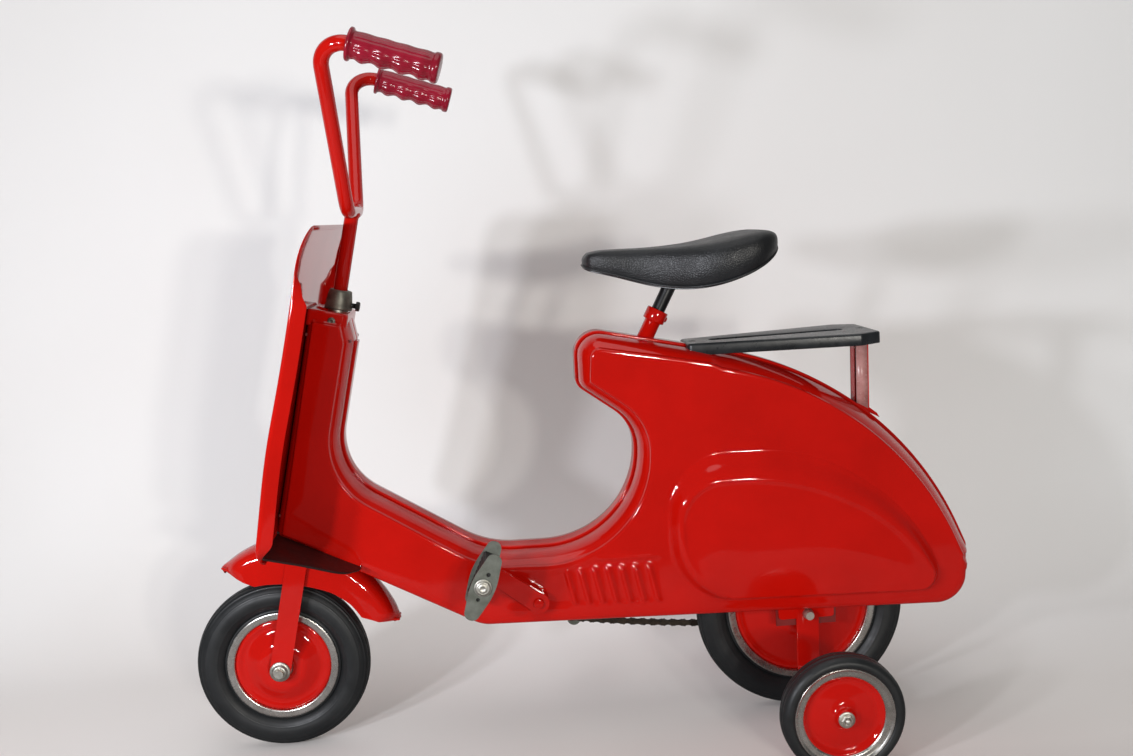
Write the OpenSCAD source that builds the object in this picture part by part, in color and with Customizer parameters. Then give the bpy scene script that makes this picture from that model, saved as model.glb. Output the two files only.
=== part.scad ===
// Pedal scooter: a ride-on toy with a pressed steel body, a chain drive and two stabiliser wheels
// X runs from front to rear, Z is up, and the floor under the middle of the toy is the origin

/* [Frame] */
// Distance between the front and rear axles
wheelbase = 625; // [600:1:660]
// Lean of the steering axis from the vertical, in degrees
rake = 13; // [11:0.5:15]
// Half width of the pressed body at its side faces
face_y = 50; // [46:0.5:56]
// Half width of the body at its stepped border
border_y = 41; // [39:0.5:44]
// Width of the stepped border round the body
border_w = 13; // [9:0.5:16]
// Thickness of the body sheet
wall = 1.6; // [1.2:0.1:2]
// Half width of the strips that close the two body halves
strip_y = 12; // [9:0.5:16]
// Height of those strips over the body halves
strip_proud = 3; // [2:0.25:4]
// Half of the seam left between the two body halves
seam = 0.4; // [0.2:0.1:1]

/* [Wheels] */
// Radius of the front tyre
front_r = 101.6; // [95:0.1:108]
// Radius of the rear tyre
rear_r = 127; // [120:0.5:134]
// Radius of the round section of both tyres
tyre_section = 19; // [16:0.5:21]
// Height of each main tyre outside its rim
tyre_height = 37.5; // [34:0.5:37.5]
// Radius of a stabiliser wheel
stay_wheel_r = 67; // [62:0.5:72]
// Distance of a stabiliser wheel from the middle plane
stay_wheel_y = 184; // [170:1:200]
// Half width of a stabiliser tyre
stay_tyre_y = 14; // [11:0.5:16]
// Diameter of the main wheel axles
axle_d = 10; // [8:0.5:12]
// Radial running clearance of every shaft in its bore
fit = 0.05; // [0.02:0.01:0.09]

/* [Steering] */
// Height of the column top along the steering axis, from the front axle
column_top = 425; // [400:1:440]
// Distance from the steering axis to the front of the column outline
column_front = 31; // [29:0.5:36]
// Distance from the steering axis to the column rear
column_rear = 29; // [28:0.5:36]
// Diameter of the steerer tube
steerer_d = 22; // [20:0.5:24]
// Diameter of the handlebar stem
stem_d = 16; // [13:0.5:16]
// Height of the handlebar bottom along the steering axis
bar_height = 540; // [530:1:560]
// Half width of the handlebar bottom
bar_bottom_y = 46; // [38:1:60]
// Half width between the grips
grip_y = 147; // [130:1:170]
// Inner half distance between the fork legs
fork_y = 28; // [28:0.5:32]
// Width of a fork leg
fork_leg_w = 24; // [18:0.5:25]

/* [Leg shield] */
// Half width of the leg shield
shield_y = 160; // [140:1:175]
// Lower end of the leg shield along the steering axis
shield_low = 158; // [157:0.5:165]
// Upper end of the leg shield along the steering axis
shield_high = 522; // [490:1:524]
// Depth of the flange round the leg shield
shield_flange = 17; // [12:0.5:20]

/* [Drive] */
// Distance from the front axle to the crank, along the floor
crank_x = 305.3; // [300:0.1:308]
// Height of the crank axis
crank_z = 172; // [168:0.5:174]
// Throw of the crank
crank_throw = 76.2; // [66:0.1:80]
// Angle of the left crank above the rearward direction, in degrees
crank_angle = 143; // [0:1:180]
// Teeth of the chainring
ring_teeth = 22; // [18:1:22]
// Teeth of the rear sprocket
sprocket_teeth = 16; // [11:1:16]
// Pitch of the chain
chain_pitch = 12.7; // [12.7]
// Distance of the chain from the middle plane
chain_y = 27; // [25.5:0.5:28]
// Sag of the lower chain run
chain_sag = 9; // [4:1:14]

/* [Seat] */
// Lean of the seat post from the vertical, in degrees
post_lean = 28; // [24:1:32]
// Diameter of the seat post
post_d = 16; // [14:0.5:17]
// Greatest half width of the seat
seat_y = 81; // [70:1:90]
// Height of the seat underside at its lowest place
seat_low = 521; // [515:1:530]

/* [Carrier] */
// Half width of the carrier at its front
carrier_front_y = 29; // [24:1:36]
// Half width of the carrier at its rear
carrier_rear_y = 59; // [50:1:66]
// Depth of the carrier skirt
carrier_depth = 11.5; // [9:0.5:14]
// Diameter of the small machine screws
screw_d = 5; // [4:0.5:6]

/* [Hidden] */

$fn = 64;
arc_step = 8;
min_r = 2;
eps = 0.01;
far = 400;

red = [0.72, 0.07, 0.04];
zinc = [0.72, 0.72, 0.70];
black = [0.07, 0.07, 0.08];
grey = [0.42, 0.41, 0.41];
crimson = [0.35, 0.03, 0.06];

// The rear parts keep their place from the rear axle when the wheelbase changes
nominal_wheelbase = 625;
function back(x) = x + wheelbase - nominal_wheelbase;
tail_x = back(829.54);
x_mid = (tail_x - front_r) / 2;

function unit(v) = v / norm(v);
function left_of(d) = [-d[1], d[0]];
function xy(p) = [p[0], p[1]];
function meet(a, da, b, db) = a + da * cross(b - a, db) / cross(da, db);

// One rounded corner of an outline, moved inwards by the inset
function corner_arc(a, b, c, inset) =
    let (d1 = unit(xy(b) - xy(a)),
         d2 = unit(xy(c) - xy(b)),
         turn = atan2(cross(d1, d2), d1 * d2),
         side = sign(turn),
         v = meet(xy(b) + left_of(d1) * inset, d1, xy(b) + left_of(d2) * inset, d2),
         r = max(b[2] - side * inset, min_r),
         t = r * tan(abs(turn) / 2),
         centre = v - d1 * t + left_of(d1) * side * r,
         start = atan2(-side * left_of(d1)[1], -side * left_of(d1)[0]),
         steps = max(1, ceil(abs(turn) / arc_step)))
    [for (i = [0:steps]) centre + r * [cos(start + turn * i / steps), sin(start + turn * i / steps)]];
function rounded(corners, inset = 0) =
    let (n = len(corners))
    [for (i = [0:n - 1]) each corner_arc(corners[(i + n - 1) % n], corners[i], corners[(i + 1) % n], inset)];

// A point given by its height along the steering axis and its distance behind that axis
function steer_pt(s, t) = [s * sin(rake) + t * cos(rake), front_r + s * cos(rake) - t * sin(rake)];
function steer_corner(s, t, r) = concat(steer_pt(s, t), [r]);

// The silhouette of the body with its strips, as corners of x, z and radius
floor_z = 227;
bottom_front_z = 141.5;
bottom_rear_z = 125;
lower_front = [104, front_r + 113.5, 60];
body_corners = [
    steer_corner(158.5, -column_front, 10),
    lower_front,
    [238, bottom_front_z, 45],
    [tail_x, bottom_rear_z, 50],
    [tail_x, 184, 36],
    [back(741), 401, 400],
    [back(364), 483.5, 28],
    [back(364), 414, 18],
    [back(429), 366, 55],
    [back(429), floor_z, 110],
    [252, floor_z, 110],
    steer_corner(244, column_rear, 72),
    steer_corner(column_top - 27, column_rear, 12),
    steer_corner(column_top, 18, 6),
    steer_corner(column_top, -column_front, 6)
];
shell = strip_proud;
panel = strip_proud + border_w;
function outline(inset) = rounded(body_corners, inset);

// Height of the straight bottom line of the body
function bottom_z(x) = bottom_front_z + (bottom_rear_z - bottom_front_z) * (x - 238) / (tail_x - 238);

// The cowl over the rear wheel stands out from the side face in two steps
cowl_corners = [
    [back(473), 152, 75], [back(804), 149, 12], [back(747), 251, 220], [back(622), 329, 225], [back(473), 327, 82]
];
cowl_step = 11;
cowl_rise = 18;
cowl_inset = 14;
function cowl(inset) = rounded(cowl_corners, inset);

module framed() translate([-x_mid, 0, 0]) children();
module along_steering() translate([0, 0, front_r]) rotate([0, rake, 0]) children();
module side_plate(y0, y1, points) translate([0, y1, 0]) rotate([90, 0, 0])
    linear_extrude(y1 - y0) polygon(points);
module across(x, z, y0, y1, r) translate([x, y1, z]) rotate([90, 0, 0]) cylinder(h = y1 - y0, r = r);
module steer_plate(t0, t1) along_steering() translate([t0, 0, 0]) rotate([90, 0, 90])
    linear_extrude(t1 - t0) children();
module steer_rod(s0, s1, r) along_steering() translate([0, 0, s0]) cylinder(h = s1 - s0, r = r);
module on_axle(x, z) translate([x, 0, z]) rotate([90, 0, 0]) children();
module both_sides() {
    children();
    mirror([0, 1, 0]) children();
}

// Body shell

shell_top = column_top - strip_proud;
head_tube_d = 31.8;
open_edge = 10;
open_bottom = [
    steer_pt(140, -column_front + shell + wall),
    steer_pt(176, -column_front + shell + wall),
    [lower_front[0], lower_front[1] + open_edge],
    [238, bottom_front_z + open_edge],
    [back(789), bottom_rear_z + open_edge],
    [back(789), 60],
    [0, 60]
];
bush_r = 9;
socket_d = 19;
post_base = [back(463), 489.5];
module along_post() translate([post_base[0], 0, post_base[1]]) rotate([0, post_lean, 0]) children();

module shell_outside() {
    side_plate(seam, border_y, outline(shell));
    side_plate(seam, face_y, outline(panel));
    side_plate(seam, face_y + cowl_step, cowl(0));
    side_plate(seam, face_y + cowl_rise, cowl(cowl_inset));
    louvres();
}
module shell_inside() {
    side_plate(-eps, border_y - wall, outline(shell + wall));
    side_plate(-eps, face_y - wall, outline(panel + wall));
    side_plate(-eps, face_y + cowl_step - wall, cowl(wall));
    side_plate(-eps, face_y + cowl_rise - wall, cowl(cowl_inset + wall));
    side_plate(-eps, border_y - wall, open_bottom);
}
louvre_count = 7;
louvre_pitch = 16;
louvre_r = 4;
module louvres() for (i = [0:louvre_count - 1]) {
    x = 343.6 + louvre_pitch * i;
    translate([x - louvre_r, face_y - wall / 2, 166]) cube([2 * louvre_r, 3 + wall / 2, 37]);
    across(x, 166, face_y - wall / 2, face_y + 3, louvre_r);
    across(x, 203, face_y - wall / 2, face_y + 3, louvre_r);
}
module half_body() difference() {
    shell_outside();
    shell_inside();
    across(crank_x, crank_z, 0, face_y + 1, bush_r);
    steer_rod(column_top - 20, column_top + 20, head_tube_d / 2);
    along_post() translate([0, 0, -60]) cylinder(h = 80, r = socket_d / 2);
    cap_screw_at() translate([0, 0, -20]) cylinder(h = 30, r = screw_d / 2);
    for (x = stay_bolt_x) across(back(x), stay_bolt_z, stay_in, border_y + 1, screw_d / 2);
    across(wheelbase, rear_r, stay_in, border_y + 1, axle_nut_r + 0.3);
}
module body_left() color(red) framed() mirror([0, 1, 0]) half_body();
module body_right() color(red) framed() half_body();

// Strips that cover the seam
module strip_ring(region) intersection() {
    difference() {
        side_plate(-strip_y, strip_y, outline(0));
        side_plate(-strip_y - 1, strip_y + 1, outline(shell));
    }
    side_plate(-strip_y - 1, strip_y + 1, region);
}
strip_break = 416;
module floor_strip() color(red) framed() strip_ring([
    steer_pt(398, 8), steer_pt(190, 8), [160, 205], [back(470), 205],
    [back(470), strip_break], [back(330), strip_break], steer_pt(398, 60)
]);
module top_strip() color(red) framed() difference() {
    strip_ring([
        [back(340), strip_break], [back(430), strip_break], [back(700), 180],
        [back(860), 180], [back(860), 420], [back(700), 520], [back(340), 520]
    ]);
    along_post() translate([0, 0, -60]) cylinder(h = 80, r = socket_d / 2);
    on_carrier() translate([carrier_screw_x[0], 0, 0]) screw_hole();
}

// Steering head
cap_low = 16;
module column_cap() color(red) framed() difference() {
    along_steering() translate([-column_front + strip_proud, -border_y - sheet_t, column_top - cap_low])
        cube([45, 2 * (border_y + sheet_t), cap_low + sheet_t]);
    side_plate(-border_y, border_y, outline(shell));
    steer_rod(column_top - 20, column_top + 20, head_tube_d / 2 + 0.4);
    both_sides() cap_screw_at() screw_hole();
}
screw_head_r = 0.9 * screw_d;
screw_len = 5;
module cap_screw_at() along_steering()
    translate([0, border_y + sheet_t, column_top - 8]) rotate([-90, 0, 0]) children();
module countersink() translate([0, 0, -sheet_t])
    cylinder(h = sheet_t, r1 = screw_d / 2, r2 = screw_head_r);
module screw() {
    countersink();
    translate([0, 0, -screw_len]) cylinder(h = screw_len - sheet_t + eps, r = screw_d / 2);
}
module screw_hole() {
    countersink();
    translate([0, 0, -eps]) cylinder(h = 1, r = screw_head_r);
    translate([0, 0, -20]) cylinder(h = 20 - sheet_t + eps, r = screw_d / 2);
}
module body_screws() color(zinc) framed() {
    both_sides() cap_screw_at() screw();
    for (x = carrier_screw_x) on_carrier() translate([x, 0, 0]) screw();
}
head_low = 163;
bush_len = 15;
module head_tube() color(red) framed() difference() {
    steer_rod(head_low, column_top - 2, head_tube_d / 2);
    steer_rod(head_low - 1, column_top, head_tube_d / 2 - 2.4);
}
module head_plate(s0, s1) difference() {
    intersection() {
        both_sides() shell_inside();
        along_steering() translate([-60, -60, s0]) cube([98, 120, s1 - s0]);
    }
    steer_rod(s0 - 1, s1 + 1, head_tube_d / 2);
}
module head_plates() color(grey) framed() {
    head_plate(186, 189);
    head_plate(column_top - 29, column_top - 26);
}
module head_bush(s0, s1, flange0, flange1) difference() {
    union() {
        steer_rod(s0, s1, head_tube_d / 2 - 2.4);
        steer_rod(flange0, flange1, head_tube_d / 2 - 0.6);
    }
    steer_rod(s0 - 20, s1 + 20, steerer_d / 2 + fit);
}
module head_bushes() color(black) framed() {
    head_bush(head_low - 1, head_low + bush_len, head_low - 7, head_low);
    head_bush(column_top - 2 - bush_len, column_top - 1, column_top - 2, column_top);
}

// Leg shield
shield_t = -column_front + strip_proud;
shield_corners = [
    [-150, shield_low, 22], [150, shield_low, 22], [shield_y, 300, 300],
    [shield_y, shield_high, 34], [-shield_y, shield_high, 34], [-shield_y, 300, 300]
];
module leg_shield() color(red) framed() {
    steer_plate(shield_t - wall, shield_t) polygon(rounded(shield_corners));
    difference() {
        steer_plate(shield_t - wall, shield_t - wall + shield_flange) polygon(rounded(shield_corners));
        steer_plate(shield_t - wall - 1, shield_t + far) polygon(rounded(shield_corners, wall));
        along_steering() translate([shield_t, -146, shield_low - 20]) cube([far, 292, 60]);
    }
}
wing_slope = 0.475;
wing_plan = [[0, border_y], [106, border_y], [107, 62], [93, 97], [50, 119], [16, 141], [0, 141]];
module shield_wing() intersection() {
    side_plate(border_y, 150, [[0, front_r + 175.1], [110, front_r + 175.1 - 110 * wing_slope],
        [110, front_r + 173.3 - 110 * wing_slope], [0, front_r + 173.3]]);
    translate([0, 0, 150]) linear_extrude(200) polygon(wing_plan);
    along_steering() translate([shield_t, 0, 0]) cube([far, far, far]);
}
module shield_floor_left() color(red) framed() mirror([0, 1, 0]) shield_wing();
module shield_floor_right() color(red) framed() shield_wing();
module shield_rivets() color(red) framed() both_sides() for (s = [210, 300, 390])
    along_steering() translate([shield_t - wall, 24, s])
        rotate([0, -90, 0]) cylinder(h = 2, r1 = 4, r2 = 2.5);

// Seat socket and carrier
post_fit = post_d / 2 + fit;
module seat_socket() color(red) framed() along_post() difference() {
    union() {
        translate([0, 0, -100]) cylinder(h = 107, r = socket_d / 2);
        translate([0, 0, -7.2]) cylinder(h = 14.4, r = 12.8);
    }
    translate([0, 0, -101]) cylinder(h = 120, r = post_fit);
    rotate([0, 90, 0]) cylinder(h = 30, r = screw_d / 2);
}
module clamp_bolt(reach, head_at) rotate([0, 90, 0]) {
    translate([0, 0, reach]) cylinder(h = head_at - reach + eps, r = screw_d / 2);
    translate([0, 0, head_at]) cylinder(h = 4, r = 5, $fn = 6);
}
module seat_clamp_bolt() color(zinc) framed() along_post() clamp_bolt(post_fit + 0.1, 14);

carrier_front = 495;
carrier_z = 456.5;
carrier_tilt = atan(4 / 221);
carrier_screw_x = [10, 211];
sheet_t = 2;
function carrier_plan(inset) = rounded([
    [0, -carrier_front_y, 6], [195, -carrier_rear_y, 6], [221, -carrier_rear_y + 14, 5],
    [221, carrier_rear_y - 14, 5], [195, carrier_rear_y, 6], [0, carrier_front_y, 6]
], inset);
carrier_slot = [[30, -7, 6.9], [190, -7, 6.9], [190, 7, 6.9], [30, 7, 6.9]];
module on_carrier() translate([back(carrier_front), 0, carrier_z]) rotate([0, -carrier_tilt, 0]) children();
module carrier() color(black) framed() difference() {
    on_carrier() difference() {
        translate([0, 0, -carrier_depth]) linear_extrude(carrier_depth) polygon(carrier_plan(0));
        translate([0, 0, -carrier_depth - 1]) linear_extrude(carrier_depth + 1 - sheet_t)
            polygon(carrier_plan(wall));
        translate([0, 0, -far / 2]) linear_extrude(far) polygon(rounded(carrier_slot));
        for (x = carrier_screw_x) translate([x, 0, 0]) screw_hole();
    }
    side_plate(-border_y, border_y, outline(shell));
    side_plate(-strip_y, strip_y, outline(0));
}
strut_y = 8.5;
strut_x = 697;
strut_w = 16;
module carrier_strut() color(red) framed() difference() {
    union() {
        difference() {
            translate([back(strut_x), -strut_y, 340]) cube([strut_w, 2 * strut_y, 160]);
            translate([back(strut_x) + 2.5, -strut_y + 2.5, 330]) cube([strut_w, 2 * strut_y - 5, 160]);
        }
        intersection() {
            side_plate(-strut_y, strut_y, outline(-2.4));
            translate([back(strut_x) + 1, -strut_y + 1, 330]) cube([strut_w + 8, 2 * strut_y - 2, 60]);
        }
    }
    side_plate(-strip_y, strip_y, outline(0));
    on_carrier() translate([0, -far, -sheet_t]) cube([far, 2 * far, far]);
}

// Rear axle, its plates and the stays of the stabiliser wheels
axle_r = axle_d / 2;
axle_nut_r = 1.26 * axle_r;
stay_t = 4;
plate_t = 3;
stay_out = border_y - wall;
stay_in = stay_out - stay_t;
plate_in = stay_in - plate_t;
stay_x = 620;
stay_bolt_x = [599, 650];
stay_bolt_z = bottom_z(back(650)) + panel - screw_d * 0.8;
module axle_plates() color(grey) framed() both_sides() difference() {
    translate([back(588), plate_in, 112]) cube([72, plate_t, 44]);
    across(wheelbase, rear_r, 0, 60, axle_r);
    for (x = stay_bolt_x) across(back(x), stay_bolt_z, 0, 60, screw_d / 2);
}
module rear_axle() color(zinc) framed() across(wheelbase, rear_r, -50, 50, axle_r);
module axle_nut() difference() {
    union() {
        cylinder(h = 1.6, r = axle_nut_r);
        translate([0, 0, 1.6]) cylinder(h = 6, r = axle_nut_r - 0.1);
    }
    translate([0, 0, -1]) cylinder(h = 20, r = axle_r);
}
module rear_axle_nuts() color(zinc) framed() both_sides()
    translate([wheelbase, stay_out, rear_r]) rotate([-90, 0, 0]) axle_nut();
stay_low = 56;
stay_w = 27;
stay_end = 162;
module stay() difference() {
    union() {
        translate([back(590), stay_in, 121]) cube([67, stay_t, 29]);
        translate([wheelbase - stay_w / 2, stay_in, stay_low]) cube([stay_w, stay_t, 80]);
        translate([wheelbase - stay_w / 2, stay_in, stay_low]) cube([stay_w, stay_end - stay_in, stay_t]);
        translate([wheelbase - stay_w / 2, stay_end - stay_t, stay_low]) cube([stay_w, stay_t, 27]);
    }
    across(wheelbase, rear_r, 0, 60, axle_r);
    across(back(stay_x), stay_wheel_r, 100, 200, axle_r - 1);
    for (x = stay_bolt_x) across(back(x), stay_bolt_z, 0, 60, screw_d / 2);
}
module stay_left() color(red) framed() mirror([0, 1, 0]) stay();
module stay_right() color(red) framed() stay();
module stay_bolts() color(zinc) framed() both_sides() for (x = stay_bolt_x) {
    across(back(x), stay_bolt_z, plate_in - 1, border_y + eps, screw_d / 2);
    across(back(x), stay_bolt_z, border_y, border_y + 3, screw_d * 0.8);
}
module stay_wheel_bolts() color(zinc) framed() both_sides() {
    across(back(stay_x), stay_wheel_r, stay_end - stay_t - 2, stay_wheel_y + 16, axle_r - 1);
    across(back(stay_x), stay_wheel_r, stay_wheel_y + 15, stay_wheel_y + 19, 9);
    across(back(stay_x), stay_wheel_r, stay_end - stay_t - 6, stay_end - stay_t, 6.5);
}

// Wheels: a channel rim, two pressed discs, a hub and a solid tyre with a foot in the rim
rim_t = 1.6;
rim_y = 13.6;
rim_drop = 8;
module ring_of(points) rotate_extrude($fn = 96) polygon(points);
module rim(r_seat) ring_of([
    [r_seat - rim_drop, -rim_y], [r_seat + 1, -rim_y], [r_seat + 1, -rim_y + rim_t],
    [r_seat - rim_drop + rim_t, -rim_y + rim_t], [r_seat - rim_drop + rim_t, rim_y - rim_t],
    [r_seat + 1, rim_y - rim_t], [r_seat + 1, rim_y], [r_seat - rim_drop, rim_y]
]);
module tyre(radius, r_seat) rotate_extrude($fn = 96) {
    difference() {
        translate([radius - tyre_section, 0]) circle(r = tyre_section, $fn = 40);
        for (side = [0, 1]) mirror([0, side]) translate([0, rim_y - rim_t]) square([r_seat + 1, tyre_section]);
    }
    translate([r_seat - rim_drop + rim_t, -rim_y + rim_t])
        square([radius - tyre_section - r_seat + rim_drop - rim_t, 2 * (rim_y - rim_t)]);
}
module discs(r_hub, r_out) for (side = [0, 1]) mirror([0, 0, side]) ring_of([
    [r_hub, 20], [r_hub + 12, 20], [r_hub + 26, 9.5], [r_out, 9.5],
    [r_out, 11.1], [r_hub + 26.8, 11.1], [r_hub + 12.6, 21.6], [r_hub, 21.6]
]);
module hub(half, r_out, bore) difference() {
    translate([0, 0, -half]) cylinder(h = 2 * half, r = r_out);
    translate([0, 0, -half - 1]) cylinder(h = 2 * half + 2, r = bore);
}
hub_r = 13;
rear_seat = rear_r - tyre_height;
front_seat = front_r - tyre_height;
module at_rear() on_axle(wheelbase, rear_r) children();
module at_front() on_axle(0, front_r) children();
module rear_rim() color(zinc) framed() at_rear() rim(rear_seat);
module rear_discs() color(red) framed() at_rear() discs(hub_r, rear_seat - rim_drop);
module rear_hub() color(zinc) framed() at_rear() hub(plate_in - 0.8, hub_r, axle_r + fit);
module rear_tyre() color(black) framed() at_rear() tyre(rear_r, rear_seat);
module front_rim() color(zinc) framed() at_front() rim(front_seat);
module front_discs() color(red) framed() at_front() discs(hub_r, front_seat - rim_drop);
module front_hub() color(zinc) framed() at_front() hub(fork_y - 0.8, hub_r, axle_r + fit);
module front_tyre() color(black) framed() at_front() tyre(front_r, front_seat);

stay_rim_r = stay_wheel_r - 12.5;
module at_stay(side) on_axle(back(stay_x), stay_wheel_r) translate([0, 0, -side * stay_wheel_y]) children();
module stay_disc() difference() {
    union() {
        cylinder(h = 3, r = stay_rim_r - 1, center = true);
        difference() {
            cylinder(h = 2 * stay_tyre_y - 5, r = stay_rim_r, center = true);
            cylinder(h = 2 * stay_tyre_y, r = stay_rim_r - 2.5, center = true);
        }
        cylinder(h = 30, r = 10, center = true);
    }
    cylinder(h = far, r = axle_r - 1 + fit, center = true);
}
module stay_tyre() rotate_extrude($fn = 96) polygon(rounded([
    [stay_rim_r, -stay_tyre_y, 3], [stay_wheel_r, -stay_tyre_y, 7],
    [stay_wheel_r, stay_tyre_y, 7], [stay_rim_r, stay_tyre_y, 3]
]));
module stay_disc_left() color(red) framed() at_stay(-1) stay_disc();
module stay_disc_right() color(red) framed() at_stay(1) stay_disc();
module stay_tyre_left() color(black) framed() at_stay(-1) stay_tyre();
module stay_tyre_right() color(black) framed() at_stay(1) stay_tyre();

// Chain drive on the right side
roller_r = 4;
link_h = 4.4;
function pitch_r(teeth) = chain_pitch / (2 * sin(180 / teeth));
ring_r = pitch_r(ring_teeth);
cog_r = pitch_r(sprocket_teeth);
drive = [wheelbase - crank_x, rear_r - crank_z];
drive_len = norm(drive);
drive_angle = atan2(drive[1], drive[0]);
wrap = asin((ring_r - cog_r) / drive_len);
run_len = sqrt(drive_len * drive_len - pow(ring_r - cog_r, 2));
up_dir = drive_angle + 90 - wrap;
low_dir = drive_angle - 90 + wrap;
ring_c = [crank_x, crank_z];
cog_c = [wheelbase, rear_r];
function dir2(a) = [cos(a), sin(a)];
function sag_pt(u) = ring_c + dir2(low_dir) * ring_r
    + (cog_c + dir2(low_dir) * cog_r - ring_c - dir2(low_dir) * ring_r) * u
    + dir2(low_dir) * chain_sag * 4 * u * (1 - u);
function chain_loop(grow) = concat(
    [for (i = [0:16]) ring_c + dir2(up_dir + (low_dir + 360 - up_dir) * i / 16) * (ring_r + grow)],
    [for (i = [1:11]) sag_pt(i / 12) + dir2(low_dir) * grow],
    [for (i = [0:12]) cog_c + dir2(low_dir + (up_dir - low_dir) * i / 12) * (cog_r + grow)]
);
module toothed(centre, teeth) difference() {
    across(centre[0], centre[1], chain_y - 1, chain_y + 1, pitch_r(teeth) + 3.6);
    for (i = [0:teeth - 1]) {
        p = centre + dir2(360 * (i + 0.5) / teeth) * pitch_r(teeth);
        across(p[0], p[1], chain_y - 2, chain_y + 2, roller_r + 0.3);
    }
}
module chain_band(y0, y1) difference() {
    side_plate(y0, y1, chain_loop(link_h));
    side_plate(y0 - 1, y1 + 1, chain_loop(-link_h));
}
first_roller = 3;
last_roller = floor(run_len / chain_pitch) - 3;
module chain() color(grey) framed() {
    chain_band(chain_y - 2.8, chain_y - 1.6);
    chain_band(chain_y + 1.6, chain_y + 2.8);
    for (i = [first_roller:last_roller]) {
        p = ring_c + dir2(up_dir) * ring_r + dir2(up_dir - 90) * chain_pitch * i;
        across(p[0], p[1], chain_y - 2.2, chain_y + 2.2, roller_r - 0.4);
        q = sag_pt(chain_pitch * i / run_len);
        across(q[0], q[1], chain_y - 2.2, chain_y + 2.2, roller_r - 0.4);
    }
}
module rear_sprocket() color(grey) framed() difference() {
    toothed(cog_c, sprocket_teeth);
    across(wheelbase, rear_r, 0, 60, hub_r);
}
crank_r = 6;
module chainring() color(grey) framed() difference() {
    toothed(ring_c, ring_teeth);
    across(crank_x, crank_z, 0, 60, crank_r);
    for (a = [0:72:288]) {
        p = ring_c + dir2(a) * 25;
        across(p[0], p[1], 0, 60, 8);
    }
}
module crank_bushes() color(zinc) framed() both_sides() difference() {
    union() {
        across(crank_x, crank_z, face_y - wall - 6, face_y + eps, bush_r);
        across(crank_x, crank_z, face_y, face_y + 2.5, bush_r + 2.5);
    }
    across(crank_x, crank_z, 0, 80, crank_r + fit);
}
arm_in = 57;
arm_t = 6;
pedal_out = 131;
spindle_y = arm_in + arm_t + 4;
module crank_axle() color(red) framed() across(crank_x, crank_z, -spindle_y, spindle_y, crank_r);
arm_w = 15;
function arm_angle(side) = crank_angle + (side > 0 ? 180 : 0);
function pedal_at(side) = ring_c + dir2(arm_angle(side)) * crank_throw;
module crank_arm(side) {
    p = pedal_at(side);
    y = side > 0 ? arm_in + arm_t : -arm_in;
    translate([0, y, 0]) rotate([90, 0, 0]) linear_extrude(arm_t) difference() {
        union() {
            translate(ring_c) circle(r = 12.5);
            translate(p) circle(r = 9.5);
            translate(ring_c) rotate(arm_angle(side)) translate([0, -arm_w / 2]) square([crank_throw, arm_w]);
        }
        translate(ring_c) circle(r = crank_r);
        translate(p) circle(r = 5);
    }
}
module crank_arms() color(red) framed() {
    crank_arm(-1);
    crank_arm(1);
}
module pedal_pin() {
    cylinder(h = pedal_out - arm_in + 2, r = 5);
    translate([0, 0, 7]) cylinder(h = 8, r = 7);
    translate([0, 0, pedal_out - arm_in + 0.6]) cylinder(h = 4, r1 = 8.4, r2 = 5.5);
}
module at_pedal(side) translate([pedal_at(side)[0], side * arm_in, pedal_at(side)[1]])
    rotate([-90 * side, 0, 0]) children();
module pedal_pins() color(zinc) framed() {
    at_pedal(-1) pedal_pin();
    at_pedal(1) pedal_pin();
}
pedal_lean = 14;
pedal_len = 78;
plate_h = 28;
block_in = 80 - arm_in;
block_out = pedal_out - 2 - arm_in;
module pedal_tilt(side) at_pedal(side) rotate([0, 0, side * (pedal_lean + 90)]) children();
module pedal_block() difference() {
    translate([-25, -9, block_in]) cube([50, 18, block_out - block_in]);
    translate([0, 0, -far / 2]) cylinder(h = far, r = 5 + fit);
}
lens_peak = plate_h / 2 + 4;
lens = rounded([[-pedal_len / 2, 0, 4], [0, -lens_peak, 60], [pedal_len / 2, 0, 4], [0, lens_peak, 60]]);
plate_z = [block_in - 2, block_out];
module pedal_plates() for (z = plate_z) translate([0, 0, z]) linear_extrude(2) difference() {
    polygon(lens);
    circle(r = 5 + fit);
    for (x = [-15, 15]) translate([x, 0]) circle(r = 2);
}
module pedal_block_left() color(black) framed() pedal_tilt(-1) pedal_block();
module pedal_block_right() color(black) framed() pedal_tilt(1) pedal_block();
module pedal_plates_left() color(grey) framed() pedal_tilt(-1) pedal_plates();
module pedal_plates_right() color(grey) framed() pedal_tilt(1) pedal_plates();

// Fork, fender and front axle
fender_r = 147.5;
fender_y = 26;
crown_s = 147.8;
crown_t = 6.2;
leg_t = 4;
module fork_leg() along_steering() translate([0, fork_y + leg_t, 0]) rotate([90, 0, 0]) linear_extrude(leg_t)
    difference() {
        union() {
            translate([-fork_leg_w / 2, 0]) square([fork_leg_w, crown_s + 1]);
            circle(r = fork_leg_w / 2 + 1);
        }
        circle(r = axle_r);
    }
module fork() color(red) framed() {
    both_sides() fork_leg();
    along_steering() translate([-fork_leg_w / 2 - 0.5, -fork_y - leg_t - 0.5, crown_s])
        cube([fork_leg_w + 1, 2 * (fork_y + leg_t) + 1, crown_t]);
}
module steerer_tube() color(zinc) framed() difference() {
    steer_rod(crown_s + crown_t, column_top + 21, steerer_d / 2);
    steer_rod(crown_s - 5, column_top + 22, stem_d / 2 + fit);
    along_steering() translate([0, 0, collar_bolt_s]) rotate([0, 90, 0]) cylinder(h = 20, r = screw_d / 2);
}
fender_front = 117;
fender_rear = 17;
fender_span = fender_front - fender_rear;
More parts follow.
